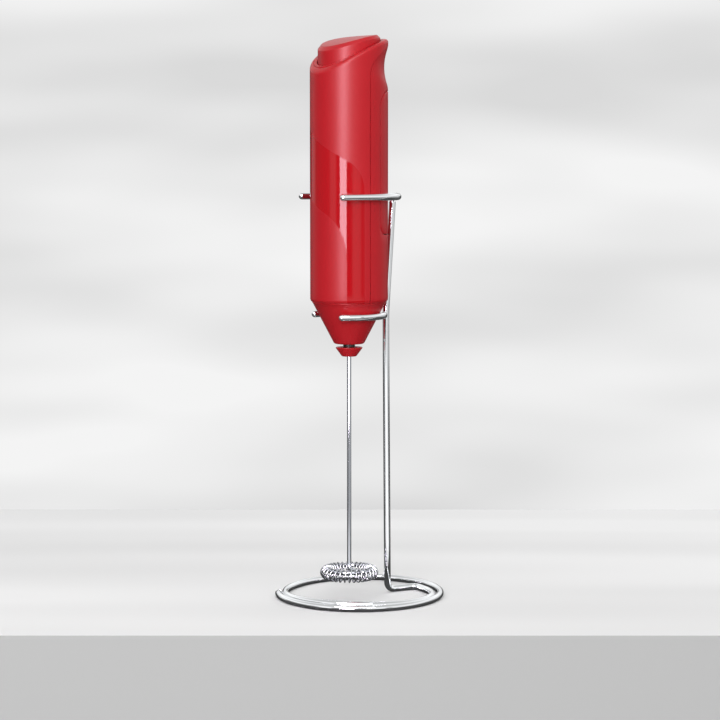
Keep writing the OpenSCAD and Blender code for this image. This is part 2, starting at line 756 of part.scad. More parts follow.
module coupling() color(plastic_red) in_handle() difference() {
    rotate_extrude() polygon(concat(
        [[0, coupling_bottom_z]],
        arc_points([coupling_bottom_r - 0.6, coupling_bottom_z + 0.6], 0.6, -90, -30, 3),
        [[coupling_top_r - 0.1, gap_z - 0.35], [coupling_top_r, gap_z - 0.15],
            [coupling_top_r - 0.15, gap_z], [0, gap_z]]));
    tall(sleeve_r, sleeve_bottom_z, gap_z + 1);
    tall(shaft_r, coupling_bottom_z - 1, gap_z);
}

// One steel rod: straight shaft, a spoke, and the ring that carries the coil.
module whisk_shaft() color(steel) in_handle() {
    spoke_end = coil_ring_r - spoke_bend_r;
    tall(shaft_r, ring_z + spoke_bend_r, shaft_top_z);
    translate([spoke_bend_r, 0, ring_z + spoke_bend_r]) rotate([90, 0, 0])
        arc(spoke_bend_r, 180, 270, shaft_r);
    bar([spoke_bend_r, 0, ring_z], [spoke_end, 0, ring_z], shaft_r);
    translate([spoke_end, spoke_bend_r, ring_z]) arc(spoke_bend_r, -90, 0, shaft_r);
    translate([0, 0, ring_z]) {
        ball([coil_ring_r, spoke_bend_r, 0], shaft_r);
        arc(coil_ring_r, asin(spoke_bend_r / coil_ring_r), 348, shaft_r);
    }
}

// The coil: a helix whose own axis is bent into a closed ring.
module whisk_coil() color(chrome) in_handle() translate([0, 0, coil_z]) {
    n = coil_turns * 12;
    outs = [for (i = [0:n - 1])
        let (round_ring = 360 * i / n, round_coil = 360 * coil_turns * i / n)
        [cos(round_coil) * cos(round_ring), cos(round_coil) * sin(round_ring), sin(round_coil)]];
    points = [for (i = [0:n - 1])
        coil_ring_r * [cos(360 * i / n), sin(360 * i / n), 0] + coil_tube_r * outs[i]];
    tube(points, outs, coil_wire_r, 6, true);
}

stand_wire();
upper_clip();
lower_clip();
front_shell();
rear_shell();
battery_door();
power_button();
button_spring();
switch_base();
switch_leaf();
switch_contact();
battery_tray();
battery_left();
battery_right();
upper_contact_plate();
upper_contact_spring();
lower_contact_plate();
lower_contact_spring();
motor_mount();
motor_can();
motor_end_cap();
motor_magnets();
motor_terminals();
motor_bushes();
motor_brushes();
motor_shaft();
armature_core();
armature_windings();
commutator();
lead_wire_red();
lead_wire_white();
lead_wire_black();
drive_sleeve();
coupling();
whisk_shaft();
whisk_coil();
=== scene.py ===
"""A battery milk frother in its bent-wire stand, dressed for rendering.

The frother's own sizes are in millimetres. The frame, the stage, the camera and the lights are in metres.
"""

import json
import math

import bpy
from mathutils import Matrix, Vector


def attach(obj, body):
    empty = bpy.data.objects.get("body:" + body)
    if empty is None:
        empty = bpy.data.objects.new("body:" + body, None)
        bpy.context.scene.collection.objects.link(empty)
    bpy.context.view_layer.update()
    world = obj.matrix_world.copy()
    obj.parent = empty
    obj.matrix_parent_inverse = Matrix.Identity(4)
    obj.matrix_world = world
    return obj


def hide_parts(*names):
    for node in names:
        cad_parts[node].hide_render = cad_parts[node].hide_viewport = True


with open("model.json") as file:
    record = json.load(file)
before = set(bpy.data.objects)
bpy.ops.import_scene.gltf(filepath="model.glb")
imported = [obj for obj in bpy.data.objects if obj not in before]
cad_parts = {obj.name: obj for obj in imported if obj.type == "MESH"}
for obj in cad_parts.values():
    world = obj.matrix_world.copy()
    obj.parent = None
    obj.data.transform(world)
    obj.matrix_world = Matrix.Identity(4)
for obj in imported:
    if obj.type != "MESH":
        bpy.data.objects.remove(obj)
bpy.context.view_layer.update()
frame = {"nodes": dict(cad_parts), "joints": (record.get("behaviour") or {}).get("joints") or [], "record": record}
joints = {joint["name"]: joint for joint in frame["joints"]}

MM = 0.001

# The handle's axis and its turn in the stand, as the joints have them.
axis_x, axis_y = joints["whisk_spin"]["pos_m"][:2]
tilt_axis = joints["battery_door_tilt"]["axis"]
handle_yaw = math.atan2(-tilt_axis[1], -tilt_axis[0])
HANDLE_PLACE = (
    Matrix.Translation((axis_x, axis_y, 0))
    @ Matrix.Rotation(handle_yaw, 4, "Z")
    @ Matrix.Scale(MM, 4)
)
STAND_PLACE = Matrix.Scale(MM, 4)

# Handle
HANDLE_R = 16.0
WALL, CUT_EDGE_ROUND = 1.4, 0.1
SEAM, NOSE_SEAM = 0.27, 0.04
RIM_ROUND = 1.3
COLLAR_R = 13.05
OPENING_ROUND, OPENING_DEPTHS = 0.3, (1.2, 2.2)
NOSE_BORE_R, NOSE_FLAT_R = 2.75, 3.6
CONE_BOTTOM_Z, CONE_BOTTOM_R = 105.9, 6.1
CONE_TOP_Z, CONE_TOP_R = 123.3, 15.2
CONE_FOOT_ROUND = 1.2
CONE_LOW_ROW, CONE_HIGH_ROW = 2.5, 0.5
CREASE = [(-0.02, -0.32), (-0.2, -0.2), (-0.2, -0.02), (0.2, 0.08)]  # (r, z) from the top of the cone
EDGE_ROUND, EDGE_RISE = 1.8, 0.1
FRONT_WALL_Z, REAR_WALL_Z = 128, 126
PARTING_Y = -0.9
PANEL_CORNER = 8.0
NOTCH_R, NOTCH_DEPTH, NOTCH_Z, NOTCH_Y, NOTCH_BLEND = 20.0, 2.0, 219.0, -2.05, 0.4
DOOR_LOW, DOOR_HIGH, DOOR_EDGE_Y = 151.2, 209.2, 4.5
DOOR_CORNER, DOOR_TOP_CORNER, DOOR_FIT = 3.8, 6.5, 0.05
RIB_INNER_R, RIB_OUTER_R = 14.7, 15.7
RIB_LOW, RIB_HIGH = DOOR_HIGH + 0.02, DOOR_HIGH + 0.9

# Button
BUTTON_R, BUTTON_BEVEL, BUTTON_ROUND = 12.75, 1.3, 0.35
BUTTON_SIDE, BUTTON_SKIRT, BUTTON_WALL = 3.0, 5.0, 1.5
BUTTON_FLAT_R = 9

# Whisk
GAP_Z = 104.5
COUPLING_TOP_R, COUPLING_BOTTOM_R, COUPLING_BOTTOM_Z = 5.55, 3.3, 100.7
COUPLING_TOP_ROUND, COUPLING_FOOT_ROUND, COUPLING_LEAN = 0.25, 0.6, 30
SOCKET_R, SOCKET_MOUTH_R, SOCKET_DEPTH = 2.46, 2.55, 1.5
COUPLING_CHAMFER, COUPLING_BORE_ROW = 0.1, 1
SHAFT_R, SHAFT_TOP_Z, SPOKE_BEND = 0.9, 108.5, 2.0
SHAFT_RING_START, SHAFT_RING_END = 14, 348  # degrees round the ring at the rod's end
COIL_Z, COIL_RING_R, COIL_TUBE_R, COIL_WIRE_R, COIL_TURNS = 10.3, 9.4, 2.45, 0.3, 32
COIL_POINTS_PER_TURN, COIL_WIRE_SIDES = 28, 10

# Stand
WIRE_R, WELD_DEPTH = 1.4, 0.2
WIRE_SIDES, SHAFT_SIDES = 24, 20
DOME_TIP = 0.02  # the share of the radius that stays flat at the tip of a domed end
BASE_R, BASE_RISE, TURN_GAP = 33.8, 1.1, 0.1
POST_FOOT_Y, POST_BEND_Y, POST_TOP_Y, POST_BEND_Z = 13.4, 12.45, 15.6, 118.0
POST_BEND_R, FOOT_BEND_R = 90, 3
FOOT_BACK_Y, LEAD_IN_R, BASE_END_ANGLE, SWING_SWEEP = 27.2, 20.0, -118.0, 80.0
LEAD_IN_GAP = 3  # degrees between the end of the lead-in and the first point of the base ring
LOWER_CLIP = {"z": 117.7, "half": 14.35, "reach": 9.55, "toe": 15}
UPPER_CLIP = {"z": 166.4, "half": 17.9, "reach": 12.25, "toe": -2.5}


class SideArc:
    """An arched surface as the side view shows it.

    It crosses the handle's axis at height z, where it rises towards the back by lean degrees.
    """

    def __init__(self, z, lean, radius):
        self.radius = radius
        self.y = radius * math.sin(math.radians(lean))
        self.z = z - radius * math.cos(math.radians(lean))

    def height(self, y):
        return self.z + math.sqrt(self.radius**2 - (y - self.y) ** 2)


RIM = SideArc(z=226.8, lean=22.5, radius=62.0)
PANEL = SideArc(z=219.3, lean=49.8, radius=25.4)
BUTTON_TOP = SideArc(z=230.7, lean=12.8, radius=74.0)


# ---- Camera ----

CAMERA_AZIMUTH = 62  # degrees round from the stand's open side
CAMERA_DISTANCE, CAMERA_HEIGHT, CAMERA_LENS = 0.9086, 0.1859, 110.5
CAMERA_CLIP_START = 0.01
AIM_HEIGHT, AIM_RIGHT = 0.0991, 0.0045


def put(name, data):
    """A new object in the scene."""
    made = bpy.data.objects.new(name, data)
    bpy.context.scene.collection.objects.link(made)
    return made


def towards_camera():
    """Unit vectors along the floor: from the object to the camera, and to the camera's right."""
    turn = math.radians(CAMERA_AZIMUTH)
    return Vector((math.sin(turn), -math.cos(turn), 0)), Vector((math.cos(turn), math.sin(turn), 0))


def aim_at(made, target):
    """Turns a camera or a lamp towards target."""
    made.rotation_mode = "QUATERNION"
    made.rotation_quaternion = (target - made.location).to_track_quat("-Z", "Y")


def make_camera():
    """From the front right of the stand, level with the upper handle and looking a little down."""
    forward, right = towards_camera()
    middle = Vector((axis_x, axis_y, 0)) + right * AIM_RIGHT
    data = bpy.data.cameras.new("camera")
    data.lens = CAMERA_LENS
    data.clip_start = CAMERA_CLIP_START
    camera = put("camera", data)
    camera.location = middle + forward * CAMERA_DISTANCE + Vector((0, 0, CAMERA_HEIGHT))
    aim_at(camera, middle + Vector((0, 0, AIM_HEIGHT)))
    bpy.context.scene.camera = camera


# ---- Node helpers ----

# The Mix node's sockets: its factor, its two floats, its two colours and, among its outputs, its colour.
FACTOR, FLOAT_A, FLOAT_B, COLOUR_A, COLOUR_B, COLOUR_OUT = 0, 2, 3, 6, 7, 2


def linear(hex_colour):
    """The linear RGBA of an sRGB colour such as "#B41E28"."""
    parts = [int(hex_colour[i : i + 2], 16) / 255 for i in (1, 3, 5)]
    return [p / 12.92 if p <= 0.04045 else ((p + 0.055) / 1.055) ** 2.4 for p in parts] + [1]


def add(tree, kind, inputs=None, **settings):
    """Adds a node. settings are its properties; inputs gives sockets a value or what feeds them."""
    made = tree.nodes.new(kind)
    for key, value in settings.items():
        setattr(made, key, value)
    for key, value in (inputs or {}).items():
        if isinstance(value, bpy.types.Node):
            value = value.outputs[0]
        if isinstance(value, bpy.types.NodeSocket):
            tree.links.new(value, made.inputs[key])
        else:
            made.inputs[key].default_value = value
    return made


def new_material(name):
    """A node material, still empty, and its tree."""
    material = bpy.data.materials.new(name)
    material.use_nodes = True
    material.node_tree.nodes.clear()
    return material, material.node_tree


def shade(tree, inputs):
    """Adds a material's shader, with these inputs, and its output."""
    shader = add(tree, "ShaderNodeBsdfPrincipled", inputs)
    add(tree, "ShaderNodeOutputMaterial", {"Surface": shader})


def camera_axes(tree, vector):
    """Turns a vector so that its X runs along the floor to the camera, and its Y to the camera's right."""
    turn = (0, 0, math.radians(90 - CAMERA_AZIMUTH))
    return add(tree, "ShaderNodeMapping", {"Vector": vector, "Rotation": turn})


def curve_of(tree, value, points, low, high):
    """Reads value through a smooth curve of (value, result) points; low and high bound the results."""
    start, end = points[0][0], points[-1][0]
    share = add(tree, "ShaderNodeMapRange", {"Value": value, "From Min": start, "From Max": end})
    reader = add(tree, "ShaderNodeFloatCurve", {"Value": share})
    curve = reader.mapping.curves[0]
    while len(curve.points) < len(points):
        curve.points.new(0.5, 0.5)
    for point, (x, y) in zip(curve.points, points):
        point.location = ((x - start) / (end - start), (y - low) / (high - low))
        point.handle_type = "AUTO_CLAMPED"
    reader.mapping.update()
    return add(tree, "ShaderNodeMapRange", {"Value": reader, "To Min": low, "To Max": high})


# ---- Materials ----

GRAIN = 1 / MM  # noise scale that gives features about one millimetre across
NOISE_LOW, NOISE_HIGH = 0.3, 0.7  # noise seldom leaves this range


def object_noise(tree, size, stretch=(1, 1, 1)):
    """Noise on Object coordinates whose features are about size millimetres across, times stretch."""
    place = add(tree, "ShaderNodeTexCoord").outputs["Object"]
    mapped = add(tree, "ShaderNodeMapping", {"Vector": place, "Scale": [1 / s for s in stretch]})
    return add(tree, "ShaderNodeTexNoise", {"Vector": mapped, "Scale": GRAIN / size, "Detail": 2.0})


# Edges of the polished band: distance round the handle from its front, and height.
BAND_TOP = [
    (-25, 208.5), (-14.6, 200), (-4.6, 192), (4.4, 186.5), (13.4, 181.5), (17.9, 178.1), (20.6, 173.5),
    (21.5, 166.5), (21.6, 102), (26, 101),
]
BAND_LOW = [
    (-25, 179.5), (-14.6, 171), (-4.6, 164.9), (1.4, 161.5), (7.4, 157.7), (11, 153.3), (13.4, 146.5),
    (14.1, 138.5), (14.2, 102), (26, 101),
]
BAND_HEIGHTS = (100, 220)  # both edges stay between these
BAND_EDGE = 0.05  # half the width of the change from satin to polished


def polished_band(tree):
    """One inside the band that sweeps down the front shell of the handle, nought outside it."""
    turn = Matrix.Rotation(-handle_yaw, 4, "Z")
    shift = turn @ Vector((-axis_x, -axis_y, 0))
    place = add(tree, "ShaderNodeTexCoord").outputs["Object"]
    local = add(
        tree, "ShaderNodeMapping", {"Vector": place, "Location": shift, "Rotation": (0, 0, -handle_yaw)}
    )
    axes = add(tree, "ShaderNodeSeparateXYZ", {"Vector": local})
    forward = add(tree, "ShaderNodeMath", {0: axes.outputs["Y"], 1: -1.0}, operation="MULTIPLY")
    angle = add(tree, "ShaderNodeMath", {0: axes.outputs["X"], 1: forward}, operation="ARCTAN2")
    around = add(tree, "ShaderNodeMath", {0: angle, 1: HANDLE_R}, operation="MULTIPLY")
    height = add(tree, "ShaderNodeMath", {0: axes.outputs["Z"], 1: MM}, operation="DIVIDE")
    top_edge = curve_of(tree, around, BAND_TOP, *BAND_HEIGHTS)
    low_edge = curve_of(tree, around, BAND_LOW, *BAND_HEIGHTS)
    inside = add(tree, "ShaderNodeMath", {0: top_edge, 1: height}, operation="SUBTRACT")
    over = add(tree, "ShaderNodeMath", {0: height, 1: low_edge}, operation="SUBTRACT")
    above_crease = add(tree, "ShaderNodeMath", {0: height, 1: CONE_TOP_Z}, operation="SUBTRACT")
    on_front = add(tree, "ShaderNodeMath", {0: forward, 1: 1 / MM, 2: PARTING_Y}, operation="MULTIPLY_ADD")
    for limit in (over, above_crease, on_front):
        inside = add(tree, "ShaderNodeMath", {0: inside, 1: limit}, operation="MINIMUM")
    return add(tree, "ShaderNodeMapRange", {"Value": inside, "From Min": -BAND_EDGE, "From Max": BAND_EDGE})


def make_red_abs():
    """Two-tone moulded ABS: a satin, spark-eroded skin with a polished band sweeping down the front.

    The band mirrors its surroundings sharply; the satin skin spreads the same light into a soft veil. The band's
    base colour is a touch darker than the skin's: painted shade for the veil it lacks.
    """
    spark_mm, cloud_mm, relief_mm = 0.35, 14.0, 0.012
    satin_low, satin_high, polished = 0.35, 0.42, 0.07
    band_step = -2.0  # how far the polished band lies below the satin skin, in reliefs
    material, tree = new_material("red_abs_satin_and_polished")
    band = polished_band(tree)
    grain = object_noise(tree, spark_mm)
    satin_rough = add(
        tree, "ShaderNodeMapRange",
        {"Value": grain, "From Min": NOISE_LOW, "From Max": NOISE_HIGH,
         "To Min": satin_low, "To Max": satin_high},
    )
    rough = add(tree, "ShaderNodeMix", {FACTOR: band, FLOAT_A: satin_rough, FLOAT_B: polished})
    cloud = object_noise(tree, cloud_mm)
    skin = add(
        tree, "ShaderNodeMix",
        {FACTOR: cloud, COLOUR_A: linear("#AE131D"), COLOUR_B: linear("#B51721")}, data_type="RGBA",
    )
    # Painted shade: the polished band is coloured a touch darker than the satin skin, for the soft veil of light
    # that it lacks.
    colour = add(
        tree, "ShaderNodeMix",
        {FACTOR: band, COLOUR_A: skin.outputs[COLOUR_OUT], COLOUR_B: linear("#B00E18")}, data_type="RGBA",
    )
    satin = add(tree, "ShaderNodeMath", {0: 1.0, 1: band}, operation="SUBTRACT")
    texture = add(tree, "ShaderNodeMath", {0: grain, 1: satin}, operation="MULTIPLY")
    relief = add(tree, "ShaderNodeMath", {0: band, 1: band_step, 2: texture}, operation="MULTIPLY_ADD")
    bump = add(tree, "ShaderNodeBump", {"Height": relief, "Strength": 0.25, "Distance": relief_mm * MM})
    shade(tree, {
        "Base Color": colour.outputs[COLOUR_OUT], "Roughness": rough, "Normal": bump,
        "IOR": 1.5, "Specular IOR Level": 0.27,
    })
    return material


def make_grained(name, colour, rough, grain_mm, stretch, tint, bump_mm, bump_strength, inputs):
    """A material whose tone, roughness and skin all follow one fine grain.

    rough is its lowest and highest roughness, and tint the share by which its tone darkens.
    """
    material, tree = new_material(name)
    grain = object_noise(tree, grain_mm, stretch)
    base = linear(colour)
    darker = [c * (1 - tint) for c in base[:3]] + [1]
    tone = add(tree, "ShaderNodeMix", {FACTOR: grain, COLOUR_A: base, COLOUR_B: darker}, data_type="RGBA")
    roughness = add(
        tree, "ShaderNodeMapRange",
        {"Value": grain, "From Min": NOISE_LOW, "From Max": NOISE_HIGH,
         "To Min": rough[0], "To Max": rough[1]},
    )
    inputs.update({"Base Color": tone.outputs[COLOUR_OUT], "Roughness": roughness})
    if bump_mm:
        inputs["Normal"] = add(
            tree, "ShaderNodeBump", {"Height": grain, "Strength": bump_strength, "Distance": bump_mm * MM}
        )
    shade(tree, inputs)
    return material


def make_metal(name, colour, rough, grain_mm, stretch=(1, 1, 1), bump_mm=0.0, tint=0.06):
    """A bare or plated metal."""
    return make_grained(
        name, colour, rough, grain_mm, stretch, tint, bump_mm, bump_strength=0.5, inputs={"Metallic": 1.0}
    )


def make_plastic(name, colour, rough, grain_mm=0.5):
    """A moulded or pressed material, whose roughness stays near rough."""
    span = (rough - 0.05, rough + 0.05)
    return make_grained(
        name, colour, span, grain_mm, stretch=(1, 1, 1), tint=0.1, bump_mm=0.01, bump_strength=0.4,
        inputs={"IOR": 1.5},
    )


MATERIALS = {
    "red_plastic": make_red_abs(),
    # Nickel-chrome plate on drawn wire: a clear mirror with the faint waves of the wire under it.
    "chrome_wire": make_metal(
        "chrome_plated_wire", "#EEF0F2", (0.03, 0.06), 3.0, bump_mm=0.003, tint=0.03
    ),
    # Stainless rod, ground bright: fine scratches round it that barely soften the mirror.
    "shaft_steel": make_metal(
        "ground_stainless_rod", "#BFC2C8", (0.03, 0.06), 0.12, stretch=(4, 4, 1), bump_mm=0.001
    ),
    # Bright-drawn stainless spring wire: each turn of the coil glints.
    "coil_steel": make_metal("bright_drawn_spring_wire", "#CACCD0", (0.03, 0.07), 0.4, bump_mm=0.002),
    # Drawn spring steel: a soft grey sheen.
    "spring_steel": make_metal("drawn_spring_steel", "#B4B6BA", (0.25, 0.35), 0.4),
    # Turned steel, left dark: fine rings draw one soft line of light down it.
    "sleeve_metal": make_metal(
        "dark_turned_steel", "#4A4544", (0.1, 0.16), 0.15, stretch=(6, 6, 1), bump_mm=0.002
    ),
    # Zinc plate on drawn sheet: pale and faintly clouded.
    "motor_steel": make_metal("zinc_plated_can", "#B9BCC0", (0.3, 0.45), 0.8, bump_mm=0.006),
    # Punched sheets in a stack: their edges show as fine lines.
    "core_steel": make_metal(
        "stacked_laminations", "#77787C", (0.4, 0.55), 0.35, stretch=(30, 30, 1), bump_mm=0.05
    ),
    # Brass strip as it leaves the press: a warm, even sheen.
    "contact_brass": make_metal("stamped_brass", "#C9A45A", (0.28, 0.4), 0.5),
    # Nickel-plated strip: paler and a little brighter than the brass.
    "contact_plate": make_metal("nickel_plated_strip", "#CCCBC6", (0.22, 0.34), 0.5),
    # Sintered bronze: its pores leave it dull and brown.
    "bush_bronze": make_metal("sintered_bronze", "#9A7446", (0.45, 0.6), 0.12, bump_mm=0.01),
    # Enamelled copper, wound wire beside wire: a dark red gloss on fine ridges.
    "copper_wire": make_metal(
        "enamelled_copper_winding", "#A8552A", (0.25, 0.4), 0.22, stretch=(1, 1, 8), bump_mm=0.05
    ),
    # Turned copper: bright, with fine rings.
    "commutator_copper": make_metal(
        "turned_copper", "#B8703E", (0.25, 0.35), 0.1, stretch=(8, 8, 1), bump_mm=0.004
    ),
    # Pressed ferrite: near black and matt.
    "ferrite": make_plastic("pressed_ferrite", "#2B2A2A", 0.7, 0.3),
    # Pressed carbon: black, with a dry sheen.
    "brush_carbon": make_plastic("carbon_brush", "#1C1C1C", 0.6, 0.2),
    # Uncoloured ABS and nylon, moulded: off-white, with a soft gloss.
    "natural_plastic": make_plastic("natural_abs", "#E2DFD4", 0.45, 0.8),
    "cap_plastic": make_plastic("natural_nylon", "#ECE9DC", 0.4, 0.8),
    # Shrunk sleeve round a cell: dark and shiny.
    "cell_jacket": make_plastic("shrink_sleeve", "#26272B", 0.25, 5.0),
    # Extruded PVC on the leads: plain colours with a dull gloss.
    "lead_red": make_plastic("red_pvc_lead", "#B01A1A", 0.4),
    "lead_white": make_plastic("white_pvc_lead", "#E4E3DE", 0.4),
    "lead_black": make_plastic("black_pvc_lead", "#171717", 0.4),
}
SLOT_OF = {part["node"]: part["material_slot"] for part in frame["record"]["subparts"]}


# ---- Mesh helpers ----

BEVEL_ANGLE, SHARP_ANGLE = 50, 40  # edges that turn by more are softened, and shaded as corners


def finish_piece(made, body, replaces=()):
    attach(made, body)
    if replaces:
        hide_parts(*replaces)


def red_piece(name, patches, body, replaces=()):
    """A piece of red plastic about the handle's axis, riding on body."""
    mesh = bpy.data.meshes.new(name)
    mesh.from_pydata([HANDLE_PLACE @ Vector(p) for p in patches.points], [], patches.faces)
    mesh.materials.append(MATERIALS["red_plastic"])
    made = put(name, mesh)
    finish_piece(made, body, replaces)
    return made


class Patches:
    """Gathers grids of points into one mesh; points that coincide are shared."""

    def __init__(self):
        self.points, self.faces, self.index = [], [], {}

    def corner(self, point):
        key = tuple(round(c, 4) for c in point)
        if key not in self.index:
            self.index[key] = len(self.points)
            self.points.append(point)
        return self.index[key]

    def face(self, points):
        """Adds a face, less any corners that coincide, if enough of them are left."""
        ring = [self.corner(p) for p in points]
        ring = [v for i, v in enumerate(ring) if v != ring[i - 1]]
        if len(ring) > 2:
            self.faces.append(ring)

    def grid(self, columns, closed=False):
        """Adds faces between neighbouring columns of points, each running upwards."""
        following = columns[1:] + (columns[:1] if closed else [])
        for left, right in zip(columns, following):
            for k in range(len(left) - 1):
                self.face((left[k], right[k], right[k + 1], left[k + 1]))


def steps(start, end, count):
    return [start + (end - start) * i / count for i in range(count + 1)]


def round_corner(centre, radius, start, end, count):
    """Points (r, z) of an arc about centre, from start to end degrees."""
    angles = [math.radians(a) for a in steps(start, end, count)]
    return [(centre[0] + radius * math.cos(a), centre[1] + radius * math.sin(a)) for a in angles]


def rounded(route, radius, count):
    """The points of a polyline whose inner corners are rounded to radius."""
    points = [Vector(route[0])]
    for a, b, c in zip(route, route[1:], route[2:]):
        a, b, c = Vector(a), Vector(b), Vector(c)
        u, v = (a - b).normalized(), (c - b).normalized()
        half = u.angle(v) / 2
        centre = b + (u + v).normalized() * radius / math.sin(half)
        start = b + u * radius / math.tan(half) - centre
        end = b + v * radius / math.tan(half) - centre
        side = (end - start * end.dot(start) / radius**2).normalized() * radius
        for turn in steps(0, math.pi - 2 * half, count):
            points.append(centre + start * math.cos(turn) + side * math.sin(turn))
    return points + [Vector(route[-1])]


def softened(outline, radius, count):
    """A flat outline (r, z) whose inner corners are rounded to radius."""
    return [(p.x, p.z) for p in rounded([(r, 0, z) for r, z in outline], radius, count)]


def at(angle, r, z):
    """The point r from the handle's axis, angle radians round from its front, at height z."""
    return (r * math.sin(angle), -r * math.cos(angle), z)


def on_circle(degrees, r, z):
    """The point r from the upright axis, degrees round from its right, at height z."""
    turn = math.radians(degrees)
    return Vector((r * math.cos(turn), r * math.sin(turn), z))


def both_sides(angles):
    """Angles that end in the middle of the back, and their mirror images on round the other side."""
    return angles + [2 * math.pi - a for a in reversed(angles[:-1])]


def apply_modifiers(made):
    """Replaces a piece's mesh with its evaluated one, and clears its modifiers."""
    graph = bpy.context.evaluated_depsgraph_get()
    mesh = bpy.data.meshes.new_from_object(made.evaluated_get(graph))
    made.modifiers.clear()
    made.data = mesh


def shade_smooth(made):
    """Smooth shading everywhere but at corners."""
    made.data.polygons.foreach_set("use_smooth", [True] * len(made.data.polygons))
    made.data.set_sharp_from_angle(angle=math.radians(SHARP_ANGLE))


def red_shell(cad_name, patches, body="handle", thickness=WALL):
    """A red shell in place of the CAD's: a skin given a wall, inwards, with softened cut edges."""
    made = red_piece(cad_name + "_skin", patches, body, [cad_name])
    wall = made.modifiers.new("wall", "SOLIDIFY")
    wall.thickness = thickness * MM
    wall.offset = -1
    wall.use_even_offset = True
    bevel = made.modifiers.new("edges", "BEVEL")
    bevel.width = CUT_EDGE_ROUND * MM
    bevel.segments = 2
    bevel.limit_method = "ANGLE"
    bevel.angle_limit = math.radians(BEVEL_ANGLE)
    apply_modifiers(made)
    shade_smooth(made)


# ---- Handle ----


def cone_r(z):
    rise = z - CONE_BOTTOM_Z
    return CONE_BOTTOM_R + rise * (CONE_TOP_R - CONE_BOTTOM_R) / (CONE_TOP_Z - CONE_BOTTOM_Z)


def nose_profile():
    """(r, z) up the nose: bore edge, flat, rounded foot, cone, crease and the cylinder's lower edge."""
    lean = math.atan((CONE_TOP_R - CONE_BOTTOM_R) / (CONE_TOP_Z - CONE_BOTTOM_Z))
    foot_z = CONE_BOTTOM_Z + CONE_FOOT_ROUND
    foot = (cone_r(foot_z) - CONE_FOOT_ROUND / math.cos(lean), foot_z)
    cone_heights = steps(CONE_BOTTOM_Z + CONE_LOW_ROW, CONE_TOP_Z - CONE_HIGH_ROW, count=10)
    crease = [(CONE_TOP_R + r, CONE_TOP_Z + z) for r, z in CREASE]
    edge_r = crease[-1][0]
    sweep = math.degrees(math.acos((edge_r - HANDLE_R + EDGE_ROUND) / EDGE_ROUND))
    edge_z = CONE_TOP_Z + EDGE_RISE + EDGE_ROUND * math.sin(math.radians(sweep))
    return (
        [(NOSE_BORE_R, CONE_BOTTOM_Z), (NOSE_FLAT_R, CONE_BOTTOM_Z)]
        + round_corner(foot, CONE_FOOT_ROUND, -90, -math.degrees(lean), count=5)
        + [(cone_r(z), z) for z in cone_heights]
        + crease
        + round_corner((HANDLE_R - EDGE_ROUND, edge_z), EDGE_ROUND, -sweep, 0, count=6)
    )


def notched_r(angle, z):
    """The handle's radius, less where the thumb notch dips into the back.

    The notch is an arc turned about an upright line at NOTCH_Y, and blends softly into the wall.
    """
    rise = z - NOTCH_Z
    if abs(rise) >= NOTCH_R:
        return HANDLE_R
    reach = HANDLE_R - NOTCH_DEPTH + NOTCH_R - NOTCH_Y - math.sqrt(NOTCH_R**2 - rise**2)
    along = -math.cos(angle) * NOTCH_Y
    dip = along + math.sqrt(along**2 - NOTCH_Y**2 + reach**2)
    soft = math.sqrt((HANDLE_R - dip) ** 2 + NOTCH_BLEND**2)
    return min((HANDLE_R + dip - soft) / 2, HANDLE_R)


def panel_corner(grow):
    """Radius, centre and last y of the corner between the rear panel's upright edge and its arched top."""
    radius = PANEL_CORNER + grow
    top_r = PANEL.radius + grow
    corner_y = PARTING_Y - grow + radius
    corner_z = PANEL.z + math.sqrt((top_r - radius) ** 2 - (PANEL.y - corner_y) ** 2)
    end_y = corner_y + radius * (corner_y - PANEL.y) / (top_r - radius)
    return radius, corner_y, corner_z, end_y


def panel_top(y, grow):
    """Height of the rear panel's upper edge at y behind the axis, with its rounded front corner."""
    radius, corner_y, corner_z, end_y = panel_corner(grow)
    if y < end_y:
        return corner_z + math.sqrt(max(radius**2 - (y - corner_y) ** 2, 0))
    return PANEL.z + math.sqrt((PANEL.radius + grow) ** 2 - (y - PANEL.y) ** 2)


def angle_of(y):
    """Angle from the handle's front of the point on its right at y behind the axis."""
    return math.acos(max(-1, min(1, -y / HANDLE_R)))


def corner_angles(front_y, radius, end_y, count):
    """Angles that sample a rounded corner evenly, from its upright edge at front_y to end_y."""
    sweep = math.acos(1 - (end_y - front_y) / radius)
    return [angle_of(front_y + radius * (1 - math.cos(a))) for a in steps(0, sweep, count)]


def rim_column(angle, low):
    """From low up the collar's wall, over the rounded rim and down into the button's opening."""

    def slanted(r, drop):
        return at(angle, r, RIM.height(-r * math.cos(angle)) - drop)

    wall_top = slanted(HANDLE_R, RIM_ROUND)[2]
    rim = round_corner((HANDLE_R - RIM_ROUND, -RIM_ROUND), RIM_ROUND, 0, 90, count=7)[1:]
    rim += round_corner((COLLAR_R + OPENING_ROUND, -OPENING_ROUND), OPENING_ROUND, 90, 180, count=4)
    return (
        [at(angle, HANDLE_R, z) for z in steps(low, wall_top, count=6)]
        + [slanted(r, -z) for r, z in rim]
        + [slanted(COLLAR_R, drop) for drop in OPENING_DEPTHS]
    )


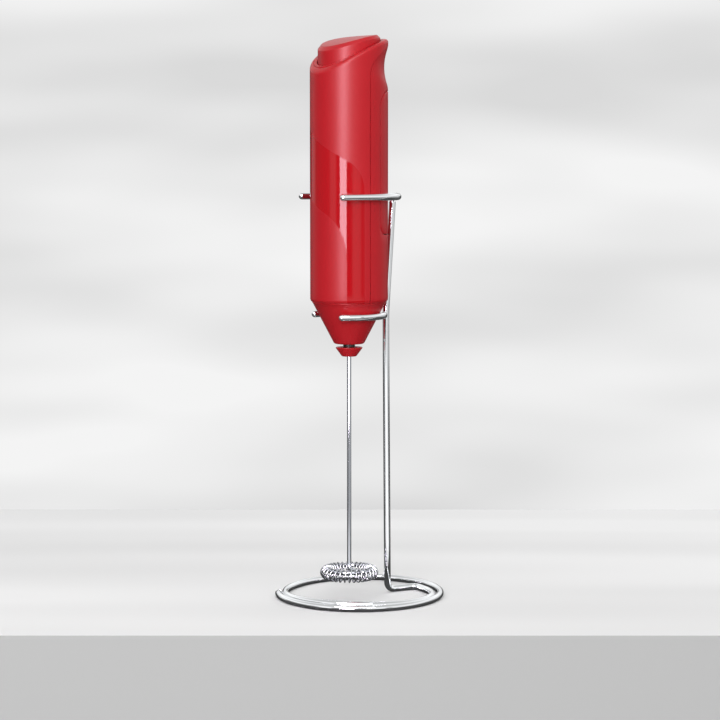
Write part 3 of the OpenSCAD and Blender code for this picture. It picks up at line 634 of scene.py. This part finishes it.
def make_front_shell():
    """The half with the collar: nose and wall in front of the seam, then the collar all round."""
    patches = Patches()
    front_y = PARTING_Y - SEAM
    split_z = panel_top(front_y, SEAM)
    seam_angle = angle_of(front_y)
    front_shares = steps(-1, 1, count=84)
    columns = []
    for share in front_shares:
        points = []
        for r, z in nose_profile() + [(HANDLE_R, z) for z in steps(FRONT_WALL_Z, split_z, count=18)]:
            edge_y = front_y if z > CONE_TOP_Z else PARTING_Y - NOSE_SEAM
            points.append(at(share * math.acos(-edge_y / r), r, z))
        columns.append(points)
    patches.grid(columns)
    radius, corner_y, corner_z, end_y = panel_corner(SEAM)
    corner = corner_angles(front_y, radius, end_y, count=9)
    behind = corner + steps(corner[-1], math.pi, count=36)[1:]
    columns = []
    for angle in [share * seam_angle for share in front_shares] + both_sides(behind)[1:-1]:
        y = -HANDLE_R * math.cos(angle)
        low = split_z if abs(angle) <= seam_angle else panel_top(y, SEAM)
        columns.append(rim_column(angle, low))
    patches.grid(columns, closed=True)
    red_shell("front_shell", patches)


def door_limits(y, grow):
    """Heights of the door's lower and upper edge at y behind the axis, with its rounded corners."""

    def lift(corner):
        inset = DOOR_EDGE_Y - grow + corner - y
        return corner - math.sqrt(max(corner**2 - max(inset, 0) ** 2, 0))

    low, high = DOOR_LOW - grow, DOOR_HIGH + grow
    return low + lift(DOOR_CORNER + grow), high - lift(DOOR_TOP_CORNER + grow)


def door_angles(grow):
    """Angles that sample the door's outline, from its front edge to the middle of the back."""
    edge_y = DOOR_EDGE_Y - grow
    corner_r = DOOR_TOP_CORNER + grow
    corner = corner_angles(edge_y, corner_r, edge_y + corner_r, count=12)
    return corner + steps(corner[-1], math.pi, count=22)[1:]


def make_rear_shell():
    """The half behind the seam: arched top, thumb notch, and an opening for the door."""
    patches = Patches()
    edge_y = DOOR_EDGE_Y - SEAM
    corner = corner_angles(PARTING_Y, PANEL_CORNER, panel_corner(0)[3], count=9)
    strip = corner + steps(corner[-1], angle_of(edge_y), count=5)[1:]
    lower, side, upper = [], [], []
    for angle in both_sides(strip + door_angles(SEAM)[1:]):
        y = -HANDLE_R * math.cos(angle)
        low, high = door_limits(max(y, edge_y), SEAM)
        share = (angle - math.pi) / (math.pi - strip[0])
        points = []
        for r, z in nose_profile():
            points.append(at(math.pi + share * (math.pi - math.acos(-PARTING_Y / r)), r, z))
        lower.append(points + [at(angle, HANDLE_R, z) for z in steps(REAR_WALL_Z, low, count=6)])
        side.append([at(angle, notched_r(angle, z), z) for z in steps(low, high, count=16)])
        upper.append([at(angle, notched_r(angle, z), z) for z in steps(high, panel_top(y, 0), count=30)])
    patches.grid(lower)
    patches.grid(side[: len(strip)])
    patches.grid(side[-len(strip) :])
    patches.grid(upper)
    red_shell("rear_shell", patches)


def make_battery_door():
    """The door, a little smaller than its opening, with the lower end of the thumb notch."""
    patches = Patches()
    columns = []
    for angle in both_sides(door_angles(-DOOR_FIT)):
        low, high = door_limits(-HANDLE_R * math.cos(angle), -DOOR_FIT)
        columns.append([at(angle, notched_r(angle, z), z) for z in steps(low, high, count=24)])
    patches.grid(columns)
    red_shell("battery_door", patches, body="battery_door")


def make_door_rib():
    """A rib in the gap above the door, set back from the skin: the gap reads as a shallow dark groove."""
    patches = Patches()
    inner, outer = RIB_INNER_R, RIB_OUTER_R
    section = [(inner, RIB_LOW), (outer, RIB_LOW), (outer, RIB_HIGH), (inner, RIB_HIGH)]
    start = angle_of(DOOR_EDGE_Y + DOOR_TOP_CORNER)
    rings = [[at(a, r, z) for r, z in section] for a in steps(start, 2 * math.pi - start, count=48)]
    patches.grid([ring + ring[:1] for ring in rings])
    patches.face(rings[0])
    patches.face(rings[-1][::-1])
    red_piece("door_gap_rib", patches, "handle")


def make_button():
    """A slanting, arched top with a bevelled edge, on a skirt that goes down into the collar."""
    patches = Patches()
    edge = [(BUTTON_R, -BUTTON_SIDE), (BUTTON_R, -BUTTON_BEVEL), (BUTTON_R - BUTTON_BEVEL, 0), (0, 0)]
    profile = softened(edge, BUTTON_ROUND, count=5)[:-1]
    profile += [(r, 0) for r in steps(BUTTON_FLAT_R, 0, count=3)]
    columns = []
    for angle in steps(0, 2 * math.pi, count=120)[:-1]:
        y = -BUTTON_R * math.cos(angle)
        low, high = RIM.height(y) - BUTTON_SKIRT, BUTTON_TOP.height(y) - BUTTON_SIDE
        points = [at(angle, BUTTON_R, z) for z in steps(low, high, count=5)[:-1]]
        for r, z in profile:
            points.append(at(angle, r, BUTTON_TOP.height(-r * math.cos(angle)) + z))
        columns.append(points)
    patches.grid(columns, closed=True)
    red_shell("power_button", patches, body="power_button", thickness=BUTTON_WALL)


def make_coupling():
    """The cone under the gap, turned: bore for the rod, rounded foot and top, and the sleeve's socket."""
    lean = -COUPLING_LEAN
    socket_z = GAP_Z - SOCKET_DEPTH
    foot = (COUPLING_BOTTOM_R - COUPLING_FOOT_ROUND, COUPLING_BOTTOM_Z + COUPLING_FOOT_ROUND)
    top = (COUPLING_TOP_R - COUPLING_TOP_ROUND, GAP_Z - COUPLING_TOP_ROUND)
    profile = [
        (SHAFT_R, COUPLING_BOTTOM_Z + COUPLING_BORE_ROW),
        (SHAFT_R, COUPLING_BOTTOM_Z + COUPLING_CHAMFER),
        (SHAFT_R + COUPLING_CHAMFER, COUPLING_BOTTOM_Z),
    ]
    profile += round_corner(foot, COUPLING_FOOT_ROUND, -90, lean, count=6)
    profile += round_corner(top, COUPLING_TOP_ROUND, lean, 90, count=6)
    profile += [(SOCKET_MOUTH_R, GAP_Z), (SOCKET_R, GAP_Z - COUPLING_CHAMFER), (SOCKET_R, socket_z)]
    profile += [(SHAFT_R, socket_z), profile[0]]
    patches = Patches()
    turns = steps(0, 2 * math.pi, count=72)[:-1]
    patches.grid([[at(a, r, z) for r, z in profile] for a in turns], closed=True)
    shade_smooth(red_piece("coupling_cone", patches, "whisk", ["coupling"]))


# ---- Wire ----


def domed(points, radius):
    """Adds points near both ends, where a domed end needs them."""

    def end(tip, inner):
        way = (inner - tip).normalized()
        return [tip + way * radius * (1 - math.cos(math.radians(a))) for a in steps(0, 90, count=6)]

    return end(points[0], points[1]) + points[1:-1] + end(points[-1], points[-2])[::-1]


def new_tree(name, sockets):
    """A geometry tree and its inputs. sockets has each of its own inputs and that input's type."""
    tree = bpy.data.node_groups.new(name, "GeometryNodeTree")
    for label, kind in {"Geometry": "Geometry", **sockets, "Material": "Material"}.items():
        tree.interface.new_socket(label, in_out="INPUT", socket_type="NodeSocket" + kind)
    tree.interface.new_socket("Geometry", in_out="OUTPUT", socket_type="NodeSocketGeometry")
    return tree, add(tree, "NodeGroupInput").outputs


def hand_out(tree, swept, material):
    """Smooths a swept wire, gives it its material and makes it the tree's result."""
    smooth = add(tree, "GeometryNodeSetShadeSmooth", {"Geometry": swept})
    whole = add(tree, "GeometryNodeRealizeInstances", {"Geometry": smooth})
    dressed = add(tree, "GeometryNodeSetMaterial", {"Geometry": whole, "Material": material})
    add(tree, "NodeGroupOutput", {"Geometry": dressed})
    return tree


def wire_tree():
    """Sweeps a round wire with domed ends along the edges of a mesh."""
    tree, given = new_tree("round_wire", {"Wire Radius": "Float", "Sides": "Int"})
    curve = add(tree, "GeometryNodeMeshToCurve", {"Mesh": given["Geometry"]})
    along = add(tree, "GeometryNodeSplineParameter").outputs["Length"]
    whole = add(tree, "GeometryNodeSplineLength").outputs["Length"]
    left = add(tree, "ShaderNodeMath", {0: whole, 1: along}, operation="SUBTRACT")
    from_end = add(tree, "ShaderNodeMath", {0: along, 1: left}, operation="MINIMUM")
    depth = add(tree, "ShaderNodeMath", {0: from_end, 1: given["Wire Radius"]}, operation="DIVIDE")
    short = add(tree, "ShaderNodeMath", {0: 1.0, 1: depth}, operation="SUBTRACT", use_clamp=True)
    squared = add(tree, "ShaderNodeMath", {0: short, 1: short}, operation="MULTIPLY")
    rest = add(tree, "ShaderNodeMath", {0: 1.0, 1: squared}, operation="SUBTRACT")
    blunt = add(tree, "ShaderNodeMath", {0: rest, 1: DOME_TIP**2}, operation="MAXIMUM")
    round_share = add(tree, "ShaderNodeMath", {0: blunt}, operation="SQRT")
    sized = add(tree, "GeometryNodeSetCurveRadius", {"Curve": curve, "Radius": round_share})
    circle = {"Resolution": given["Sides"], "Radius": given["Wire Radius"]}
    section = add(tree, "GeometryNodeCurvePrimitiveCircle", circle)
    swept = add(
        tree, "GeometryNodeCurveToMesh", {"Curve": sized, "Profile Curve": section, "Fill Caps": True}
    )
    if "Scale" in swept.inputs:
        tree.links.new(round_share.outputs[0], swept.inputs["Scale"])
    return hand_out(tree, swept, given["Material"])


def run_tree(made, tree, values):
    """Runs a geometry tree on a piece with the named inputs, and keeps the mesh that comes out."""
    modifier = made.modifiers.new(tree.name, "NODES")
    modifier.node_group = tree
    for item in tree.interface.items_tree:
        if item.item_type == "SOCKET" and item.in_out == "INPUT" and item.name in values:
            modifier[item.identifier] = values[item.name]
    apply_modifiers(made)


ROUND_WIRE = wire_tree()


def wire(name, points, radius, sides, body, slot, place, replaces):
    """A piece of round wire along points, all in millimetres."""
    points = domed(points, radius)
    mesh = bpy.data.meshes.new(name)
    mesh.from_pydata([place @ p for p in points], [(i, i + 1) for i in range(len(points) - 1)], [])
    made = put(name, mesh)
    run_tree(made, ROUND_WIRE, {"Wire Radius": radius * MM, "Sides": sides, "Material": MATERIALS[slot]})
    finish_piece(made, body, replaces)


def stand_wire(cad_name, points):
    """A chromed wire of the stand in place of the CAD's."""
    wire(cad_name + "_chrome", points, WIRE_R, WIRE_SIDES, "stand", "chrome_wire", STAND_PLACE, [cad_name])


def base_turn_points():
    """One and a half turns of the base: inside and a little raised at first, then out and round again."""
    inner_r = BASE_R - 2 * WIRE_R - TURN_GAP
    start = math.degrees(math.asin((FOOT_BACK_Y - LEAD_IN_R) / (inner_r - LEAD_IN_R)))
    lead = on_circle(start, inner_r - LEAD_IN_R, 0)
    points = [lead + on_circle(a, LEAD_IN_R, WIRE_R) for a in steps(90, start + LEAD_IN_GAP, count=12)]
    for angle in steps(start, BASE_END_ANGLE - 360, count=220):
        raised = min((start - angle) / 180, 1)
        swing = min(max((start - 180 - angle) / SWING_SWEEP, 0), 1)
        r = inner_r + (BASE_R - inner_r) * swing**2 * (3 - 2 * swing)
        points.append(on_circle(angle, r, WIRE_R + BASE_RISE * math.sin(math.pi * raised) ** 2))
    return points


def make_stand():
    """The leaning post, its foot, which kinks across to the ring, and the ring."""
    top = (0, POST_TOP_Y, UPPER_CLIP["z"] - WIRE_R + WELD_DEPTH)
    bend = (0, POST_BEND_Y, POST_BEND_Z)
    foot = (0, POST_FOOT_Y, WIRE_R)
    kink = (0, FOOT_BACK_Y, WIRE_R)
    towards_ring = (LEAD_IN_R, FOOT_BACK_Y, WIRE_R)
    post = rounded([top, bend, foot], POST_BEND_R, count=10)[:-1]
    corner_foot = rounded([bend, foot, kink], FOOT_BEND_R, count=12)[1:-1]
    corner_kink = rounded([foot, kink, towards_ring], FOOT_BEND_R, count=12)[1:-1]
    stand_wire("stand_wire", post + corner_foot + corner_kink + base_turn_points())


def make_clip(cad_name, back_y, half, reach, toe, z):
    """A U of wire, half its width to each side, whose arms point forwards and lean in by toe degrees.

    Its back is centred at back_y, and the domes of its ends at reach in front of the handle's axis.
    """
    lean = math.radians(toe)
    tip_y = axis_y / MM - reach
    middle = Vector((0, back_y - half, 0))
    bow = [middle + on_circle(a, half, z) for a in steps(-toe, 180 + toe, count=48)]
    arm = (bow[0].y - tip_y) / math.cos(lean) + WIRE_R
    right = bow[0] - Vector((math.sin(lean), math.cos(lean), 0)) * arm
    left = Vector((-right.x, right.y, z))
    stand_wire(cad_name, [right] + bow + [left])


def make_whisk_shaft():
    """The rod: straight down, out along a spoke and round in the ring that carries the coil."""
    ring_z = COIL_Z + COIL_TUBE_R - COIL_WIRE_R - SHAFT_R
    along_ring = (COIL_RING_R, COIL_RING_R, ring_z)
    route = [(0, 0, SHAFT_TOP_Z), (0, 0, ring_z), (COIL_RING_R, 0, ring_z), along_ring]
    points = rounded(route, SPOKE_BEND, count=10)[:-1]
    turns = steps(SHAFT_RING_START, SHAFT_RING_END, count=110)
    points += [on_circle(a, COIL_RING_R, ring_z) for a in turns]
    wire("whisk_shaft_rod", points, SHAFT_R, SHAFT_SIDES, "whisk", "shaft_steel", HANDLE_PLACE,
         ["whisk_shaft"])


def coil_tree():
    """Winds a wire into a coil whose own axis is a closed ring."""
    sizes = dict.fromkeys(("Ring Radius", "Coil Radius", "Wire Radius"), "Float")
    tree, given = new_tree("coil_on_ring", {"Turns": "Int", "Points": "Int", **sizes})
    ring = add(tree, "GeometryNodeCurvePrimitiveCircle", {"Resolution": given["Points"]})
    index = add(tree, "GeometryNodeInputIndex")
    share = add(tree, "ShaderNodeMath", {0: index, 1: given["Points"]}, operation="DIVIDE")
    round_ring = add(tree, "ShaderNodeMath", {0: share, 1: 2 * math.pi}, operation="MULTIPLY")
    round_coil = add(tree, "ShaderNodeMath", {0: round_ring, 1: given["Turns"]}, operation="MULTIPLY")
    inwards = add(tree, "ShaderNodeMath", {0: round_coil}, operation="COSINE")
    upwards = add(tree, "ShaderNodeMath", {0: round_coil}, operation="SINE")
    reach = add(
        tree, "ShaderNodeMath", {0: inwards, 1: given["Coil Radius"], 2: given["Ring Radius"]},
        operation="MULTIPLY_ADD",
    )
    across = add(tree, "ShaderNodeMath", {0: round_ring}, operation="COSINE")
    along = add(tree, "ShaderNodeMath", {0: round_ring}, operation="SINE")
    x = add(tree, "ShaderNodeMath", {0: reach, 1: across}, operation="MULTIPLY")
    y = add(tree, "ShaderNodeMath", {0: reach, 1: along}, operation="MULTIPLY")
    z = add(tree, "ShaderNodeMath", {0: upwards, 1: given["Coil Radius"]}, operation="MULTIPLY")
    spot = add(tree, "ShaderNodeCombineXYZ", {"X": x, "Y": y, "Z": z})
    wound = add(tree, "GeometryNodeSetPosition", {"Geometry": ring, "Position": spot})
    circle = {"Resolution": COIL_WIRE_SIDES, "Radius": given["Wire Radius"]}
    section = add(tree, "GeometryNodeCurvePrimitiveCircle", circle)
    swept = add(tree, "GeometryNodeCurveToMesh", {"Curve": wound, "Profile Curve": section})
    return hand_out(tree, swept, given["Material"])


def make_whisk_coil():
    """The coil, wound in metres about its own centre and then moved up round the rod's ring."""
    made = put("whisk_coil_wire", bpy.data.meshes.new("whisk_coil_wire"))
    run_tree(made, coil_tree(), {
        "Turns": COIL_TURNS,
        "Points": COIL_TURNS * COIL_POINTS_PER_TURN,
        "Ring Radius": COIL_RING_R * MM,
        "Coil Radius": COIL_TUBE_R * MM,
        "Wire Radius": COIL_WIRE_R * MM,
        "Material": MATERIALS["coil_steel"],
    })
    made.data.transform(HANDLE_PLACE @ Matrix.Translation((0, 0, COIL_Z)) @ Matrix.Scale(1 / MM, 4))
    finish_piece(made, "whisk", ["whisk_coil"])


# ---- Stage and light ----

TABLE_FRONT, TABLE_BACK, TABLE_SIDE, TABLE_DEPTH = 0.077, 0.221, 1.5, 0.4
SHEEN_START, SHEEN_END = 0.042, 0.058  # where the painted reflection of the table in the chrome turns from dark to bright, to the front
STREAK_LOW, STREAK_HIGH = 0.35, 0.65  # noise that makes the dullest and the brightest painted streak of light
TABLE_STREAKS = (14, 1.6, 1)  # painted streaks of light per metre towards the camera, across it and up
# Painted streaks of light on the wall behind: their scale along each axis, and their slant in degrees.
WALL_STREAKS, WALL_STREAK_TILT = (1, 4, 16), 28

# Studio light round the object: degrees to the camera's right as seen from the object, and brightness.
LIGHT_ROUND = [
    (-180, 0.05), (-152, 0.05), (-140, 0.5), (-124, 0.65), (-112, 0.25), (-66, 0.3), (-56, 0.9), (-42, 1.15),
    (-37, 0.25), (-28, 0.15), (-6, 0.1), (4, 0.1), (10, 0.65), (18, 1.15), (28, 1.1), (36, 0.75), (40, 0.3),
    (44, 0.35), (50, 0.75), (92, 0.65), (104, 0.55), (128, 0.55), (142, 0.3), (152, 0.1), (180, 0.05),
]
# The same a little below the horizon, which only the wires mirror: bright in front, dark at the sides.
LIGHT_LOW = [(-180, 0.1), (-75, 0.1), (-48, 0.6), (-15, 1.25), (15, 1.25), (48, 0.6), (75, 0.1), (180, 0.1)]
BRIGHTEST_ROUND, BRIGHTEST_LOW = 1.3, 1.5
# Where each further part fades in: degrees to either side, or the sine of the angle above the horizon.
FADES = {
    "behind": (120, 150), "low": (-0.09, -0.12), "wall": (0.04, 0.14), "ceiling": (0.6, 0.8),
    "gleam": (0.2, 0.38), "floor": (-0.19, -0.42),
}
WALL_LEVEL, CEILING_LEVEL, FLOOR_LEVEL = 0.88, 1.0, 0.1
GLEAM_LOW, GLEAM_HIGH, GLEAM_BRIGHT, GLEAM_DIM = 0.4, 0.85, 1.15, 0.6
SOFTBOX_AIM_TOP = 0.3  # no softbox aims higher than this


def make_table():
    """A plain pale table with a square front edge, on which the frother stands."""
    forward, right = towards_camera()
    corners = []
    for z in (0, -TABLE_DEPTH):
        for along, across in ((TABLE_FRONT, -1), (TABLE_FRONT, 1), (-TABLE_BACK, 1), (-TABLE_BACK, -1)):
            corners.append(forward * along + right * across * TABLE_SIDE + Vector((0, 0, z)))
    faces = [(0, 1, 2, 3), (7, 6, 5, 4), (0, 4, 5, 1), (1, 5, 6, 2), (2, 6, 7, 3), (3, 7, 4, 0)]
    mesh = bpy.data.meshes.new("table")
    mesh.from_pydata(corners, [], faces)
    table = put("table", mesh)
    # The top glows in painted streaks of light for the camera; the sides do not.
    mesh.materials.append(make_table_paint("matt_white_table_top", "#DADADA", glow=0.09))
    mesh.materials.append(make_table_paint("matt_grey_table_side", "#B4B4B4", glow=0.0))
    mesh.polygons.foreach_set("material_index", [0, 1, 1, 1, 1, 1])


def make_table_paint(name, colour, glow):
    """Matt paint with long soft streaks of light, painted on as a faint glow that only the camera sees.

    The chrome finds it painted dark but for its front: a painted reflection that draws the dark line under each
    polished wire. Diffuse rays find it a darker grey than its paint: painted shade, so that it throws less light
    back.
    """
    material, tree = new_material(name)
    path = add(tree, "ShaderNodeLightPath").outputs
    seen = path["Is Camera Ray"]
    turned = camera_axes(tree, add(tree, "ShaderNodeTexCoord").outputs["Object"])
    ahead = add(tree, "ShaderNodeSeparateXYZ", {"Vector": turned}).outputs["X"]
    # Painted reflection: the chrome sees the table dark near the frother and bright from SHEEN_START on, which
    # draws a dark line under each wire.
    front = add(
        tree, "ShaderNodeMapRange", {"Value": ahead, "From Min": SHEEN_START, "From Max": SHEEN_END}
    )
    painted_reflection = add(
        tree, "ShaderNodeMix",
        {FACTOR: front, COLOUR_A: linear("#4C4C4C"), COLOUR_B: linear("#F2F2F2")}, data_type="RGBA",
    )
    painted_reflection = painted_reflection.outputs[COLOUR_OUT]
    # Painted shade: diffuse rays find the table a darker grey than its paint, so it throws less light back onto
    # the frother.
    unseen = add(
        tree, "ShaderNodeMix",
        {FACTOR: path["Is Glossy Ray"], COLOUR_A: linear("#8C8C8C"), COLOUR_B: painted_reflection}, data_type="RGBA",
    )
    paint = add(
        tree, "ShaderNodeMix",
        {FACTOR: seen, COLOUR_A: unseen.outputs[COLOUR_OUT], COLOUR_B: linear(colour)}, data_type="RGBA",
    )
    # Painted streaks of light: a faint glow along long soft streaks, which only the camera sees.
    long = add(tree, "ShaderNodeMapping", {"Vector": turned, "Scale": TABLE_STREAKS})
    painted_light_streaks = add(tree, "ShaderNodeTexNoise", {"Vector": long, "Scale": 1.0, "Detail": 1.0})
    glowing = add(
        tree, "ShaderNodeMapRange",
        {"Value": painted_light_streaks, "From Min": STREAK_LOW, "From Max": STREAK_HIGH, "To Max": glow},
    )
    shown = add(tree, "ShaderNodeMath", {0: glowing, 1: seen}, operation="MULTIPLY")
    shade(tree, {
        "Base Color": paint.outputs[COLOUR_OUT], "Emission Color": (1, 1, 1, 1), "Emission Strength": shown,
        "Roughness": 0.9, "Specular IOR Level": 0.0,
    })
    return material


def studio_light(tree, turned, path):
    """The studio's brightness in the direction turned: panels all round, and what fades in on them."""
    axes = add(tree, "ShaderNodeSeparateXYZ", {"Vector": turned}).outputs
    turn = add(tree, "ShaderNodeMath", {0: axes["Y"], 1: axes["X"]}, operation="ARCTAN2")
    degrees = add(tree, "ShaderNodeMath", {0: turn, 1: 180 / math.pi}, operation="MULTIPLY")
    level = curve_of(tree, degrees, LIGHT_ROUND, 0, BRIGHTEST_ROUND)
    below = curve_of(tree, degrees, LIGHT_LOW, 0, BRIGHTEST_LOW)
    aside = add(tree, "ShaderNodeMath", {0: degrees}, operation="ABSOLUTE")
    fade = {}
    for name, (start, end) in FADES.items():
        way = aside if name == "behind" else axes["Z"]
        fade[name] = add(tree, "ShaderNodeMapRange", {"Value": way, "From Min": start, "From Max": end})
    wall = add(tree, "ShaderNodeMath", {0: fade["behind"], 1: fade["wall"]}, operation="MULTIPLY")
    # A gleam high up, for glossy rays alone: it edges the rim and the upper side of each wire.
    gleam = add(tree, "ShaderNodeMath", {0: fade["gleam"], 1: path["Is Glossy Ray"]}, operation="MULTIPLY")
    gleam_level = add(
        tree, "ShaderNodeMapRange",
        {"Value": axes["Z"], "From Min": GLEAM_LOW, "From Max": GLEAM_HIGH,
         "To Min": GLEAM_BRIGHT, "To Max": GLEAM_DIM},
    )
    layers = [
        (fade["low"], below), (wall, WALL_LEVEL), (fade["ceiling"], CEILING_LEVEL), (gleam, gleam_level),
        (fade["floor"], FLOOR_LEVEL),
    ]
    for share, layer in layers:
        level = add(tree, "ShaderNodeMix", {FACTOR: share, FLOAT_A: level, FLOAT_B: layer})
    return level


def make_world():
    """The studio: light round the object, and for the camera a pale wall with painted slanting streaks of light.
    """
    world = bpy.data.worlds.new("studio")
    world.use_nodes = True
    bpy.context.scene.world = world
    tree = world.node_tree
    tree.nodes.clear()
    path = add(tree, "ShaderNodeLightPath").outputs
    turned = camera_axes(tree, add(tree, "ShaderNodeTexCoord").outputs["Generated"])
    level = studio_light(tree, turned, path)
    light = add(tree, "ShaderNodeBackground", {"Color": (1, 1, 1, 1), "Strength": level})
    # For the camera alone: a pale wall with painted slanting streaks of light.
    tilt = (math.radians(WALL_STREAK_TILT), 0, 0)
    slanted = add(tree, "ShaderNodeMapping", {"Vector": turned, "Rotation": tilt, "Scale": WALL_STREAKS})
    painted_light_streaks = add(tree, "ShaderNodeTexNoise", {"Vector": slanted, "Scale": 1.0, "Detail": 2.0})
    share = add(
        tree, "ShaderNodeMapRange", {"Value": painted_light_streaks, "From Min": STREAK_LOW, "From Max": STREAK_HIGH}
    )
    wall = add(
        tree, "ShaderNodeMix",
        {FACTOR: share, COLOUR_A: linear("#DADADA"), COLOUR_B: linear("#F4F4F4")}, data_type="RGBA",
    )
    seen = add(tree, "ShaderNodeBackground", {"Color": wall.outputs[COLOUR_OUT]})
    shown = add(tree, "ShaderNodeMixShader", {0: path["Is Camera Ray"], 1: light, 2: seen})
    add(tree, "ShaderNodeOutputWorld", {"Surface": shown})


def make_softbox(name, side, height, distance, width, tall, watts):
    """A softbox that faces the object, side degrees to the camera's right as seen from the object."""
    data = bpy.data.lights.new(name, "AREA")
    data.shape = "RECTANGLE"
    data.size, data.size_y = width, tall
    data.energy = watts
    lamp = put(name, data)
    forward, right = towards_camera()
    turn = math.radians(side)
    lamp.location = (forward * math.cos(turn) + right * math.sin(turn)) * distance + Vector((0, 0, height))
    aim_at(lamp, Vector((0, 0, min(height, SOFTBOX_AIM_TOP))))
    lamp.visible_camera = False
    return lamp


def make_lights():
    """Two softboxes that only show as reflections, and two that never do."""
    strip = make_softbox(
        "highlight_strip", side=-16.8, height=0.62, distance=1.5, width=0.55, tall=1.22, watts=37
    )
    strip.data.color = (1, 0.88, 1)
    rim = make_softbox("rim_light", side=-8, height=1.5, distance=1.15, width=1.5, tall=0.35, watts=15)
    key = make_softbox("front_key", side=-9, height=0.45, distance=1.3, width=0.9, tall=0.7, watts=15)
    fill = make_softbox("back_fill", side=140, height=0.6, distance=1.3, width=0.9, tall=0.7, watts=5)
    for lamp in (strip, rim):
        lamp.visible_diffuse = False
    for lamp in (key, fill):
        lamp.visible_glossy = False


# ---- Build ----

make_camera()
for name, cad in frame["nodes"].items():
    cad.data.materials.clear()
    cad.data.materials.append(MATERIALS[SLOT_OF[name]])
make_front_shell()
make_rear_shell()
make_battery_door()
make_door_rib()
make_button()
make_coupling()
make_stand()
make_clip("upper_clip", back_y=POST_TOP_Y, **UPPER_CLIP)
make_clip("lower_clip", back_y=POST_BEND_Y - 2 * WIRE_R, **LOWER_CLIP)
make_whisk_shaft()
make_whisk_coil()
make_table()
make_world()
make_lights()
bpy.context.scene.view_settings.view_transform = "Standard"
